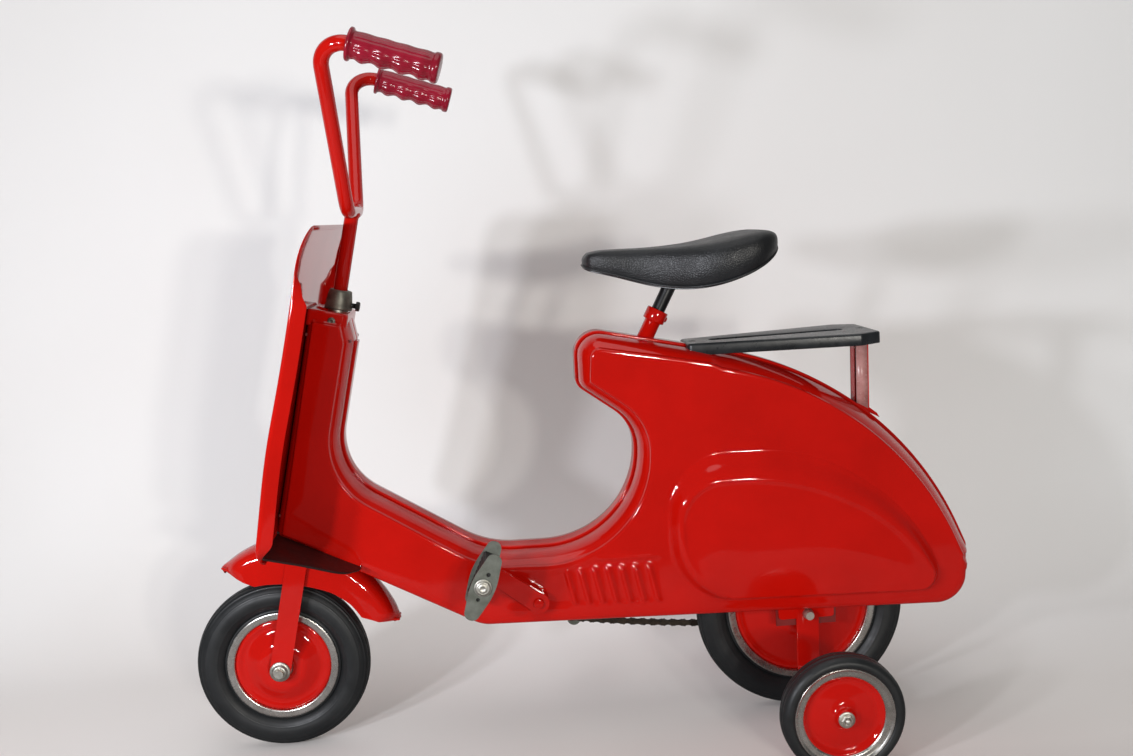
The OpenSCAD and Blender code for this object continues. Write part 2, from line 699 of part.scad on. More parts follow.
module fender() color(red) framed() intersection() {
    at_front() rotate([0, 0, fender_rear]) rotate_extrude(angle = fender_span, $fn = 96) polygon([
        [fender_r - wall, 0], [fender_r - wall, -14], [fender_r - 8 - wall, -fender_y + wall],
        [front_r + 4, -fender_y + wall], [front_r + 4, -fender_y], [fender_r - 8, -fender_y], [fender_r, -14.5],
        [fender_r, 14.5], [fender_r - 8, fender_y], [front_r + 4, fender_y], [front_r + 4, fender_y - wall],
        [fender_r - 8 - wall, fender_y - wall], [fender_r - wall, 14]
    ]);
    side_plate(-60, 60, [
        [-75, front_r + 125], [-30, front_r + 106], [10, front_r + 104], [60, front_r + 96],
        [88, front_r + 66], [110, front_r + 46], [180, front_r + 40], [180, front_r + 180],
        [-110, front_r + 180]
    ]);
}
front_axle_y = fork_y + leg_t + 10;
module front_axle() color(zinc) framed() across(0, front_r, -front_axle_y, front_axle_y, axle_r);
module front_axle_nuts() color(zinc) framed() both_sides()
    translate([0, fork_y + leg_t, front_r]) rotate([-90, 0, 0]) axle_nut();

// Stem collar, handlebar and grips
collar_bolt_s = column_top + 9;
module stem_collar() color(grey) framed() difference() {
    along_steering() translate([0, 0, column_top + 2.6]) cylinder(h = 22, r1 = 15.2, r2 = 12.2);
    steer_rod(column_top, column_top + 21, steerer_d / 2);
    steer_rod(column_top, column_top + 40, stem_d / 2 + fit);
    along_steering() translate([0, 0, collar_bolt_s]) rotate([0, 90, 0]) cylinder(h = 40, r = screw_d / 2);
}
module collar_bolt() color(zinc) framed() along_steering() translate([0, 0, collar_bolt_s])
    clamp_bolt(stem_d / 2 + fit + 0.1, 16);

function frame_of(o, x, y, z) = [
    [x[0], y[0], z[0], o[0]],
    [x[1], y[1], z[1], o[1]],
    [x[2], y[2], z[2], o[2]],
    [0, 0, 0, 1]
];
function aim(o, z) = let (x = unit(cross([1, 0.1, 0], z))) frame_of(o, x, cross(z, x), z);
bar_r = 8;
bar_bore = 6.5;
bend_r = 25;
lap = 0.8;
swell = 0.08;
module tube(a, b) multmatrix(aim(a - unit(b - a) * lap, unit(b - a)))
    linear_extrude(norm(b - a) + 2 * lap) difference() {
        circle(r = bar_r);
        circle(r = bar_bore);
    }
function bend_angle(d1, d2) = acos(d1 * d2);
function bend_run(d1, d2) = bend_r * tan(bend_angle(d1, d2) / 2);
module bend(corner, d1, d2) {
    n = unit(d2 - (d1 * d2) * d1);
    start = corner - d1 * bend_run(d1, d2);
    multmatrix(frame_of(start + n * bend_r, -n, d1, cross(-n, d1)))
        rotate_extrude(angle = bend_angle(d1, d2)) translate([bend_r, 0]) difference() {
            circle(r = bar_r + swell);
            circle(r = bar_bore - swell);
        }
}
bar_mid = [steer_pt(bar_height, 0)[0], 0, steer_pt(bar_height, 0)[1]];
bar_corner = bar_mid + [0, bar_bottom_y, 0];
bar_top = bar_mid + [-5.5, grip_y - 3, 172.2];
bar_down = unit([120, 5, -39]);
bar_up = unit(bar_top - bar_corner);
bar_end = bar_top + bar_down * 123;
grip_end = bar_top + bar_down * 126.4;
out_dir = [0, 1, 0];
module half_bar() {
    tube(bar_mid, bar_corner - out_dir * bend_run(out_dir, bar_up));
    bend(bar_corner, out_dir, bar_up);
    tube(bar_corner + bar_up * bend_run(out_dir, bar_up), bar_top - bar_up * bend_run(bar_up, bar_down));
    bend(bar_top, bar_up, bar_down);
    tube(bar_top + bar_down * bend_run(bar_up, bar_down), bar_end);
}
stem_low = 340;
module handlebar() color(red) framed() {
    both_sides() half_bar();
    difference() {
        steer_rod(stem_low, bar_height - 2, stem_d / 2);
        steer_rod(stem_low - 1, bar_height, stem_d / 2 - 1.5);
        across(bar_mid[0], bar_mid[2], -20, 20, bar_bore);
    }
}
grip_start = bar_top + bar_down * (bend_run(bar_up, bar_down) + 1);
module grip() difference() {
    union() {
        multmatrix(aim(grip_start, bar_down)) cylinder(h = 3, r = 17);
        multmatrix(aim(grip_start, bar_down)) cylinder(h = norm(grip_end - grip_start), r = 14.6);
    }
    multmatrix(aim(grip_start - bar_down, bar_down)) cylinder(h = norm(bar_end - grip_start) + 1 + lap, r = bar_r);
}
module grip_left() color(crimson) framed() mirror([0, 1, 0]) grip();
module grip_right() color(crimson) framed() grip();

// Seat, as rows of x, half width, underside and top
rise = seat_low - 521;
seat_rows = [
    [380, 10, 551, 560], [385, 20, 548, 565.5], [400, 27, 544, 568.5], [434, 34, 534, 569],
    [474, 50, 523, 569.5], [505, 69, 521, 571.5], [532, 79, 524, 575.5], [569, 81, 533, 581],
    [588, 76, 543, 582.6], [601, 62, 553, 580], [607, 44, 561, 573]
];
seat_scale = seat_y / 81;
pan_t = 2.2;
pan_share = 0.84;
rows = len(seat_rows);
function seat_x(i) = back(seat_rows[i][0]);
function seat_w(i) = seat_rows[i][1] * seat_scale;
function seat_b(i) = seat_rows[i][2] + rise;
function seat_t(i) = seat_rows[i][3] + rise;
half_section = [
    [0.86, 0], [0.97, 0.14], [1, 0.36], [0.965, 0.6],
    [0.9, 0.8], [0.76, 0.92], [0.5, 0.98], [0.2, 1]
];
section = concat(half_section, [for (i = [len(half_section) - 1:-1:0])
    [-half_section[i][0], half_section[i][1]]]);
ring_n = len(section);
seat_points = [for (i = [0:rows - 1]) for (p = section)
    [seat_x(i), p[0] * seat_w(i), seat_b(i) + p[1] * (seat_t(i) - seat_b(i))]];
seat_faces = concat(
    [for (i = [0:rows - 2]) for (j = [0:ring_n - 1])
        [i * ring_n + j, i * ring_n + (j + 1) % ring_n, (i + 1) * ring_n + j]],
    [for (i = [0:rows - 2]) for (j = [0:ring_n - 1])
        [i * ring_n + (j + 1) % ring_n, (i + 1) * ring_n + (j + 1) % ring_n, (i + 1) * ring_n + j]],
    [for (j = [1:ring_n - 2]) [0, j + 1, j]],
    [for (j = [1:ring_n - 2]) [(rows - 1) * ring_n, (rows - 1) * ring_n + j, (rows - 1) * ring_n + j + 1]]
);
module seat_cover() color(black) framed() polyhedron(seat_points, seat_faces);
module seat_pan() color(black) framed() intersection() {
    side_plate(-far, far, concat(
        [for (i = [0:rows - 1]) [seat_x(i), seat_b(i)]],
        [for (i = [rows - 1:-1:0]) [seat_x(i), seat_b(i) - pan_t]]));
    translate([0, 0, seat_low - 50]) linear_extrude(120) polygon(concat(
        [for (i = [0:rows - 1]) [seat_x(i), -seat_w(i) * pan_share]],
        [for (i = [rows - 1:-1:0]) [seat_x(i), seat_w(i) * pan_share]]));
}
module seat_post() color(black) framed() difference() {
    along_post() difference() {
        translate([0, 0, -76]) cylinder(h = 130, r = post_d / 2);
        translate([0, 0, -77]) cylinder(h = 140, r = post_d / 2 - 1.5);
    }
    side_plate(-far, far, concat(
        [for (i = [0:rows - 1]) [seat_x(i), seat_b(i) - pan_t]],
        [[seat_x(rows - 1), 900], [seat_x(0), 900]]));
}

body_left();
body_right();
floor_strip();
top_strip();
column_cap();
body_screws();
head_tube();
head_plates();
head_bushes();
leg_shield();
shield_floor_left();
shield_floor_right();
shield_rivets();
seat_socket();
seat_clamp_bolt();
carrier();
carrier_strut();
axle_plates();
rear_axle();
rear_axle_nuts();
stay_left();
stay_right();
stay_bolts();
stay_wheel_bolts();
crank_bushes();
chain();
rear_rim();
rear_discs();
rear_hub();
rear_tyre();
rear_sprocket();
front_rim();
front_discs();
front_hub();
front_tyre();
stay_disc_left();
stay_tyre_left();
stay_disc_right();
stay_tyre_right();
crank_axle();
crank_arms();
chainring();
pedal_pins();
pedal_block_left();
pedal_plates_left();
pedal_block_right();
pedal_plates_right();
fork();
steerer_tube();
fender();
front_axle();
front_axle_nuts();
stem_collar();
collar_bolt();
handlebar();
grip_left();
grip_right();
seat_post();
seat_pan();
seat_cover();
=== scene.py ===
# %% [markdown]
# # A pedal scooter in glossy red enamel
#
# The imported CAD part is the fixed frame. This lesson dresses it: pressed sheet metal with soft edges, real
# tyres, a chain of 70 links, a grained seat, and a pale studio sweep that is lit the way the photo is.
# Every step first says what the real piece is, and then builds it.

import math

import bmesh
import bpy
import numpy as np
from mathutils import Matrix, Vector
from mathutils.geometry import delaunay_2d_cdt


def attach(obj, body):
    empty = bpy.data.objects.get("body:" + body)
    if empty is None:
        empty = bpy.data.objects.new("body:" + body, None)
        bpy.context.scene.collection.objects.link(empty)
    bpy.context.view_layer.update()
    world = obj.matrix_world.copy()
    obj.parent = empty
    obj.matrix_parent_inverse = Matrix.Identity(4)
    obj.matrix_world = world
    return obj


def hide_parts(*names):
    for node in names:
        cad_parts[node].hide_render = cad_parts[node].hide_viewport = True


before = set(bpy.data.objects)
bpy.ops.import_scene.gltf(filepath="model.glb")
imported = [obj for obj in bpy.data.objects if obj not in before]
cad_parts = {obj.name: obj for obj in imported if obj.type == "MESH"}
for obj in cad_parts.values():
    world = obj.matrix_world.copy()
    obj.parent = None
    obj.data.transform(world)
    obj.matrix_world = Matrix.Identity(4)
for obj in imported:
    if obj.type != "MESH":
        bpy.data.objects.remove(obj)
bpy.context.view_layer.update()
print("pieces in the CAD part:", len(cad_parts))

# %% [markdown]
# ## Sizes
#
# The toy's main sizes were measured in the photo: two wheels of 8 and 10 inch, an axle distance of 625 mm
# and a steering axis that leans back 13 degrees. All shapes are worked out in millimetres from the floor
# point under the front axle, as on a drawing. One function then moves them to where the CAD part has them,
# in metres.

# %% Main sizes
X_MID = 363.97
RAKE = math.radians(13)
FRONT_R = 101.6
REAR_R = 127.0
WHEELBASE = 625.0
FACE_Y = 50.0
SHEET = 1.2
METRE = 1000.0
CRANK = (305.3, 172.0)
CRANK_THROW = 76.2
CRANK_ANGLE = math.radians(143)
STAY_WHEEL = (620.0, 67.0)
STAY_Y = 184.0


def place(p):
    """A drawing point in mm as a scene point in metres."""
    return Vector(((p[0] - X_MID) / METRE, p[1] / METRE, p[2] / METRE))


def steer_xz(s, t):
    """x and z of a point s up the steering axis and t behind it."""
    return (s * math.sin(RAKE) + t * math.cos(RAKE), FRONT_R + s * math.cos(RAKE) - t * math.sin(RAKE))


def steer_xyz(s, t, y):
    """The same with the distance to the right."""
    x, z = steer_xz(s, t)
    return (x, y, z)


print("front axle at", [round(v, 3) for v in place((0, 0, FRONT_R))])
print("rear axle at", [round(v, 3) for v in place((WHEELBASE, 0, REAR_R))])

# %% [markdown]
# ## Materials
#
# A paint chart gives sRGB values, and the shaders work in linear light, so one function turns a hex colour
# into linear numbers. The nodes could be laid out by hand in the editor. Here one small function adds a
# node with its settings and its links, so that a whole finish reads as a short recipe.

# %% Colour and node helpers
def linear(hex_colour):
    """An sRGB hex colour in linear light, with full opacity."""
    out = []
    for i in (0, 2, 4):
        c = int(hex_colour[i:i + 2], 16) / 255
        out.append(c / 12.92 if c <= 0.04045 else ((c + 0.055) / 1.055) ** 2.4)
    return (*out, 1.0)


def add(tree, kind, settings=None, links=None):
    """Adds a node, sets its properties or its sockets, and links what feeds it."""
    node = tree.nodes.new(kind)
    for key, value in (settings or {}).items():
        if isinstance(key, str) and hasattr(node, key):
            setattr(node, key, value)
        else:
            node.inputs[key].default_value = value
    for key, source in (links or {}).items():
        tree.links.new(source, node.inputs[key])
    return node


print("enamel red in linear light:", [round(v, 3) for v in linear("B60F07")[:3]])

# %% [markdown]
# ### One recipe for worn, made surfaces
#
# No real surface has one colour and one gloss. Paint is a little thicker here and thinner there, hands and
# dust change its gloss, and small chips show what is below. An image could hold all that, but patterns
# worked out from a size in millimetres stay sharp at any distance. The recipe is: a second colour in
# blotches, gloss that drifts, a fine relief, and specks where the piece is worn.
#
# The index of refraction stays at 1.5, which is right for paint, rubber and plastic alike.

# %% The surface recipe
MIX_FACTOR, MIX_A, MIX_B, MIX_OUT = 0, 6, 7, 2


def surface(name, colour, second, blotch_mm, rough, rough_spread, grain_mm, grain_depth,
            metallic=0.0, speck=None, speck_mm=2.0, speck_share=0.62, grained=False):
    """A principled surface; blotch, speck and grain are sizes in mm, grain_depth is a height in mm."""
    m = bpy.data.materials.new(name)
    m.use_nodes = True
    tree = m.node_tree
    shader = tree.nodes["Principled BSDF"]
    at = {"Vector": add(tree, "ShaderNodeTexCoord").outputs["Object"]}
    blotch = add(tree, "ShaderNodeTexNoise", {"Scale": METRE / blotch_mm, "Detail": 4.0, "Roughness": 0.6}, at)
    blend = add(tree, "ShaderNodeMapRange", {"From Min": 0.35, "From Max": 0.7},
                {"Value": blotch.outputs["Fac"]})
    base = add(tree, "ShaderNodeMix", {"data_type": "RGBA", MIX_A: linear(colour), MIX_B: linear(second)},
               {MIX_FACTOR: blend.outputs["Result"]})
    if speck:
        dots = add(tree, "ShaderNodeTexNoise", {"Scale": METRE / speck_mm, "Detail": 6.0, "Roughness": 0.7}, at)
        share = add(tree, "ShaderNodeMapRange", {"From Min": speck_share, "From Max": speck_share + 0.08},
                    {"Value": dots.outputs["Fac"]})
        base = add(tree, "ShaderNodeMix", {"data_type": "RGBA", MIX_B: linear(speck)},
                   {MIX_FACTOR: share.outputs["Result"], MIX_A: base.outputs[MIX_OUT]})
    haze = add(tree, "ShaderNodeTexNoise",
               {"Scale": METRE / (blotch_mm * 0.37), "Detail": 5.0, "Roughness": 0.65}, at)
    gloss = add(tree, "ShaderNodeMapRange",
                {"From Min": 0.3, "From Max": 0.75, "To Min": rough, "To Max": rough + rough_spread},
                {"Value": haze.outputs["Fac"]})
    if grained:
        cells = add(tree, "ShaderNodeTexVoronoi",
                    {"Scale": METRE / grain_mm, "feature": "DISTANCE_TO_EDGE"}, at)
        relief = add(tree, "ShaderNodeMapRange", {"From Min": 0.0, "From Max": 0.25},
                     {"Value": cells.outputs["Distance"]}).outputs["Result"]
    else:
        relief = add(tree, "ShaderNodeTexNoise", {"Scale": METRE / grain_mm, "Detail": 3.0, "Roughness": 0.55},
                     at).outputs["Fac"]
    bump = add(tree, "ShaderNodeBump", {"Strength": 1.0, "Distance": grain_depth / METRE}, {"Height": relief})
    tree.links.new(base.outputs[MIX_OUT], shader.inputs["Base Color"])
    tree.links.new(gloss.outputs["Result"], shader.inputs["Roughness"])
    tree.links.new(bump.outputs["Normal"], shader.inputs["Normal"])
    shader.inputs["Metallic"].default_value = metallic
    print(f"{name}: roughness {rough} to {rough + rough_spread:.2f}, metallic {metallic}")
    return m

# %% [markdown]
# ### Red enamel and the other paints
#
# The body is stove enamel: sprayed on and baked, so that it flows out into a hard, glossy skin. Its
# roughness is that of new gloss paint, 0.04 to 0.08. What gives it away is not its colour but its waves, a
# few centimetres long and less than a tenth of a millimetre high, that bend every reflection. A clear coat
# over a flat base would be a car's paint. This is a single coat, so the base layer does it all.

# %% Paints
# Deep orange red; the waves are 38 mm long, and tiny dark chips are drawn twice as large as real ones
enamel = surface("red stove enamel", "B60F07", "AA0D05", blotch_mm=90, rough=0.045, rough_spread=0.035,
                 grain_mm=38, grain_depth=0.08, speck="8E0D07", speck_mm=1.6, speck_share=0.74)
# The same paint inside the shell, thin and dull, since nobody sees it
enamel_inside = surface("red enamel, dull inside", "7E0E09", "5C0B08", blotch_mm=60, rough=0.4,
                        rough_spread=0.2, grain_mm=5, grain_depth=0.05)
# Painted shade: the wings are red enamel drawn brown black and hardly shiny, as the deep shade under the shield
# makes them look, with small lighter red spots
painted_shade_enamel = surface("red enamel darkened as painted shade", "260A08", "180706", blotch_mm=40, rough=0.35, rough_spread=0.2,
                      grain_mm=6, grain_depth=0.05, speck="4A1510", speck_mm=3.0, speck_share=0.66)
# Painted reflection: the strut's near face is drawn pale pink, as its red enamel mirrors the pale paper sweep
# there; duller and uneven
painted_reflection_pink = surface("red enamel with a painted pale reflection", "BA8783", "A8736F", blotch_mm=14, rough=0.22, rough_spread=0.14,
                    grain_mm=5, grain_depth=0.03, speck="CFA9A4", speck_mm=3.0, speck_share=0.6)
# Black paint on the carrier, half gloss, with dust in its pores
black_enamel = surface("black enamel", "16181A", "24272A", blotch_mm=30, rough=0.24, rough_spread=0.14,
                       grain_mm=3.0, grain_depth=0.05, speck="55524C", speck_mm=2.0, speck_share=0.72)

# %% [markdown]
# ### Rubber, plastic and vinyl
#
# Tyres and pedal blocks are moulded rubber: never quite black, and dull from wear and dust. The grips are
# injection moulded, so they have the gloss of the mould. The seat is vinyl sheet with an embossed leather
# grain. The grain is a net of small cells with soft furrows between them, which a cell pattern gives and a
# cloud pattern doesn't. Real cells are about 1 mm wide. They are drawn at 2.6 mm, as coarse as they need to
# be to show.

# %% Rubber, plastic and vinyl
# Soft sheen and grey dust in the tread
tyre_rubber = surface("black tyre rubber", "131517", "1D1F20", blotch_mm=40, rough=0.38, rough_spread=0.18,
                      grain_mm=1.2, grain_depth=0.05, speck="45443F", speck_mm=2.4, speck_share=0.7)
# Scuffed by shoes, so the roughest surface of all
block_rubber = surface("black pedal rubber", "121212", "21201E", blotch_mm=18, rough=0.6, rough_spread=0.2,
                       grain_mm=1.0, grain_depth=0.08)
# Dark crimson with a tight highlight on each flute
grip_plastic = surface("crimson moulded plastic", "90122A", "74101F", blotch_mm=30, rough=0.16,
                       rough_spread=0.08, grain_mm=6, grain_depth=0.04)
# The grain breaks the seat's long highlight into a soft shine
vinyl = surface("black grained vinyl", "141517", "1D1F22", blotch_mm=50, rough=0.36, rough_spread=0.14,
                grain_mm=2.6, grain_depth=0.13, grained=True)
# Bearings that only show as a dull dark ring
nylon = surface("black nylon", "1A1A1B", "242425", blotch_mm=12, rough=0.5, rough_spread=0.1, grain_mm=1.5,
                grain_depth=0.03)

# %% [markdown]
# ### Plated, cast and oiled metal
#
# A metal's colour is the colour of its reflection, so a plated part looks like the room round it. The rims
# are plated and polished, and the bolts are zinc plated, which is softer and a little yellow. Where dirt,
# oxide or a cast skin covers the metal, metallic is set below 1: then some light comes back as from a plain
# grey surface. Rolled and turned marks are too fine to show at this distance, and a fine relief stands for
# them.

# %% Metals
# The brightest thing on the toy, with brown freckles of rust from below the plating
bright_ring = surface("bright plated steel", "E2DFDA", "C6C2BC", blotch_mm=26, rough=0.2, rough_spread=0.16,
                      grain_mm=2.5, grain_depth=0.02, metallic=1.0, speck="857C70", speck_mm=1.2,
                      speck_share=0.7)
# Small bright heads with a soft edge to every highlight
zinc = surface("zinc plated steel", "DAD8D0", "B8B5AA", blotch_mm=6, rough=0.36, rough_spread=0.2,
               grain_mm=1.5, grain_depth=0.03, metallic=1.0, speck="6E675A", speck_mm=1.4, speck_share=0.68)
# The collar as it came out of the mould, pitted and grey
cast_grey = surface("cast zinc alloy", "86847B", "66645C", blotch_mm=8, rough=0.4, rough_spread=0.2,
                    grain_mm=1.1, grain_depth=0.10, metallic=0.85, speck="45413A", speck_mm=1.6,
                    speck_share=0.64)
# Pedal plates that have lost their shine to the weather
pedal_steel = surface("weathered pedal steel", "6B6E66", "565950", blotch_mm=9, rough=0.45, rough_spread=0.2,
                      grain_mm=1.5, grain_depth=0.06, metallic=0.35, speck="3C3A32", speck_mm=1.8,
                      speck_share=0.62)
# Oil and rust on the links: dark, with orange brown spots
chain_steel = surface("oiled, rusting chain steel", "3E352B", "241F1A", blotch_mm=5, rough=0.45,
                      rough_spread=0.2, grain_mm=1.0, grain_depth=0.03, metallic=0.7, speck="6A3A1E",
                      speck_mm=2.2, speck_share=0.6)
# Heat blackened steel of the post and some screws: near black with a dim metal sheen
dark_steel = surface("black oxide steel", "121315", "1C1D1F", blotch_mm=20, rough=0.3, rough_spread=0.15,
                     grain_mm=2.0, grain_depth=0.03, metallic=0.3, speck="3A3A38", speck_mm=1.5,
                     speck_share=0.72)

# %% [markdown]
# ## Mesh builders
#
# Every piece starts as a list of points in millimetres and a list of faces. A ready-made cube or cylinder
# could be pushed into shape instead, but its edges would be knife sharp. Sheet gets its thickness from a
# modifier, and an edge is rounded by a narrow bevel, since every real edge catches a thin line of light.

# %% From points to an object
def finish_object(obj, material, smooth=True, bevel=0.0, thick=0.0, angle=40):
    """Gives a mesh its material, its sheet thickness and its rounded edges, in mm."""
    obj.data.materials.append(material)
    for p in obj.data.polygons:
        p.use_smooth = smooth
    if thick:
        change = obj.modifiers.new("sheet", "SOLIDIFY")
        change.thickness = thick / METRE
        change.offset = -1.0
    if bevel:
        change = obj.modifiers.new("edges", "BEVEL")
        change.width = bevel / METRE
        change.segments = 3
        change.limit_method = "ANGLE"
        change.angle_limit = math.radians(angle)
        change.harden_normals = True
    return obj


def mesh_object(name, points, faces, material, **options):
    """Builds one object from points in mm, with double points merged and the faces turned outwards."""
    data = bpy.data.meshes.new(name)
    data.from_pydata([place(p) for p in points], [], faces)
    bm = bmesh.new()
    bm.from_mesh(data)
    bmesh.ops.remove_doubles(bm, verts=bm.verts, dist=1e-6)
    bmesh.ops.recalc_face_normals(bm, faces=bm.faces)
    bm.to_mesh(data)
    bm.free()
    obj = bpy.data.objects.new(name, data)
    bpy.context.scene.collection.objects.link(obj)
    return finish_object(obj, material, **options)

# %% [markdown]
# Most pieces are rows of points joined by four-sided faces, like cloth with a warp and a weft. Where the
# real piece turns on an axle or leans with the steering, its shape is easier to write down along its own
# axis. A small function then carries each point to its place. Modelling upright and turning the object
# would work as well, but the CAD part's places wouldn't be readable in it.

# %% Faces between rows, and axes to build round
def grid_faces(rows, cols, wrap_rows=False, wrap_cols=False, first=0):
    """Four-sided faces between neighbouring rows of points."""
    faces = []
    for i in range(rows if wrap_rows else rows - 1):
        for j in range(cols if wrap_cols else cols - 1):
            a = i * cols + j
            b = i * cols + (j + 1) % cols
            c = ((i + 1) % rows) * cols + (j + 1) % cols
            d = ((i + 1) % rows) * cols + j
            faces.append((first + a, first + b, first + c, first + d))
    return faces


def axle_frame(x, z):
    """Round an axle through (x, z); the third number is the distance to the right."""
    return lambda u, v, h: (x + u, h, z + v)


def steer_frame(u, v, h):
    """Round the steering axis, with h up along it."""
    return steer_xyz(h, u, v)


def line_frame(a, direction):
    """Round a line that starts at a."""
    a, w = Vector(a), Vector(direction).normalized()
    u = w.orthogonal().normalized()
    v = w.cross(u)
    return lambda p, q, h: tuple(a + u * p + v * q + w * h)

# %% [markdown]
# Tyres, hubs, caps and collars are round. On the real toy they are turned, spun or moulded, and here a
# profile of radius and height is carried round the axis the same way. The profile decides where the light
# breaks, so it holds the small steps and lips.

# %% Turned pieces
def turned(name, profile, where, material, steps=96, closed=True, wave=None, **options):
    """Turns (radius, height) points round an axis. wave(angle, height) adds to the radius."""
    points = []
    for i in range(steps):
        a = 2 * math.pi * i / steps
        for r, h in profile:
            k = r + (wave(a, h) if wave and r > 1 else 0)
            points.append(where(k * math.cos(a), k * math.sin(a), h))
    faces = grid_faces(steps, len(profile), wrap_rows=True, wrap_cols=closed)
    return mesh_object(name, points, faces, material, **options)

# %% [markdown]
# A tube or a flat bar is bent cold over a former. A curve object with a bevel could draw it, but a mesh
# made here keeps its section square to the path without a twist, and the bend's radius is the former's.

# %% Bent tubes and bars
def sweep(name, path, section, material, closed=False, up=(0, 1, 0), **options):
    """Carries a closed section along a path without twisting it."""
    path = [Vector(p) for p in path]
    n = len(path)
    points = []
    normal = Vector(up)
    for i in range(n):
        ahead = path[(i + 1) % n] if closed or i < n - 1 else path[i]
        behind = path[i - 1] if closed or i > 0 else path[i]
        tangent = (ahead - behind).normalized()
        normal = (normal - tangent * normal.dot(tangent)).normalized()
        side = tangent.cross(normal)
        for u, v in section:
            points.append(path[i] + normal * v + side * u)
    cols = len(section)
    faces = grid_faces(n, cols, wrap_rows=closed, wrap_cols=True)
    if not closed:
        faces.append(tuple(range(cols))[::-1])
        faces.append(tuple(range((n - 1) * cols, n * cols)))
    return mesh_object(name, points, faces, material, **options)


def bent_path(corners, radius, step=6):
    """Straight runs joined by round bends of the same radius."""
    pts = [Vector(c) for c in corners]
    out = [pts[0]]
    for a, b, c in zip(pts, pts[1:], pts[2:]):
        d1, d2 = (b - a).normalized(), (c - b).normalized()
        turn = d1.angle(d2)
        t = radius * math.tan(turn / 2)
        n = (d2 - d1 * d1.dot(d2)).normalized()
        centre = b - d1 * t + n * radius
        steps = max(4, int(math.degrees(turn) / step))
        for i in range(steps + 1):
            w = turn * i / steps
            out.append(centre - n * radius * math.cos(w) + d1 * radius * math.sin(w))
    out.append(pts[-1])
    return out

# %% [markdown]
# Brackets and pedal plates are stamped from sheet. A boolean could punch their holes, but it often leaves
# long thin faces that shade badly. Here the outline and the holes are triangulated together in one go.

# %% Flat plates with holes
def plate(name, profile, y0, y1, material, holes=(), where=lambda x, y, z: (x, y, z), **options):
    """A flat plate between y0 and y1, cut from an (x, z) profile."""
    loops = [list(profile)] + [list(h) for h in holes]
    flat, edges = [], []
    for loop in loops:
        start = len(flat)
        flat += [Vector(p) for p in loop]
        edges += [(start + i, start + (i + 1) % len(loop)) for i in range(len(loop))]
    verts, _, tris, _, _, _ = delaunay_2d_cdt(flat, edges, [], 1 if not holes else 2, 1e-6)
    if holes:
        tris = [t for t in tris if inside_all(t, verts, loops)]
    n = len(verts)
    points = [where(v[0], y0, v[1]) for v in verts] + [where(v[0], y1, v[1]) for v in verts]
    faces = [tuple(t) for t in tris] + [tuple(i + n for i in reversed(t)) for t in tris]
    seen = {}
    for t in tris:
        for a, b in zip(t, t[1:] + t[:1]):
            seen[(a, b)] = True
    for a, b in seen:
        if (b, a) not in seen:
            faces.append((b, a, a + n, b + n))
    return mesh_object(name, points, faces, material, **options)


def in_loop(p, loop):
    """Whether a point lies inside a closed line."""
    hit = False
    for (x1, z1), (x2, z2) in zip(loop, loop[1:] + loop[:1]):
        if (z1 > p[1]) != (z2 > p[1]) and p[0] < (x2 - x1) * (p[1] - z1) / (z2 - z1) + x1:
            hit = not hit
    return hit


def inside_all(tri, verts, loops):
    """Whether a triangle lies inside the outline and outside every hole."""
    mid = [sum(verts[i][k] for i in tri) / len(tri) for k in (0, 1)]
    return in_loop(mid, loops[0]) and not any(in_loop(mid, h) for h in loops[1:])

# %% [markdown]
# A piece has to move with the part of the toy that it is screwed to, and it stands in for one piece of the
# CAD model. One function hangs it on its body, hides that CAD piece and prints what was made. Pieces that are
# riveted or welded together on the toy are joined into one object.

# %% Riding on a body, and joining
def settle(obj, body, *nodes):
    """Lets a piece ride on a body, hides the CAD pieces it stands for, and prints it."""
    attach(obj, body)
    if nodes:
        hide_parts(*nodes)
    print(f"{obj.name}: rides on {body}, {len(obj.data.polygons)} faces")
    return obj


def joined(name, objs):
    """Several meshes as one object, with their modifiers applied."""
    depsgraph = bpy.context.evaluated_depsgraph_get()
    bm = bmesh.new()
    mats = []
    for o in objs:
        depsgraph.update()
        data = bpy.data.meshes.new_from_object(o.evaluated_get(depsgraph))
        index = []
        for m in data.materials:
            if m not in mats:
                mats.append(m)
            index.append(mats.index(m))
        for p in data.polygons:
            p.material_index = index[p.material_index] if index else 0
        data.transform(o.matrix_world)
        bm.from_mesh(data)
        bpy.data.meshes.remove(data)
        bpy.data.objects.remove(o)
    data = bpy.data.meshes.new(name)
    bm.to_mesh(data)
    bm.free()
    for m in mats:
        data.materials.append(m)
    obj = bpy.data.objects.new(name, data)
    bpy.context.scene.collection.objects.link(obj)
    return obj

# %% [markdown]
# ## The body's outline
#
# The body is two steel halves pressed in a die and joined along the middle. Seen from the side it is one
# closed line of straight runs and round corners. It could be traced as a curve, but a list of corners with
# radii is what a die maker would draw, and it matches the CAD part.

# %% The outline's corners
def corner(s, t, r):
    """A corner of the column, given along and across the steering axis."""
    x, z = steer_xz(s, t)
    return (x, z, r)


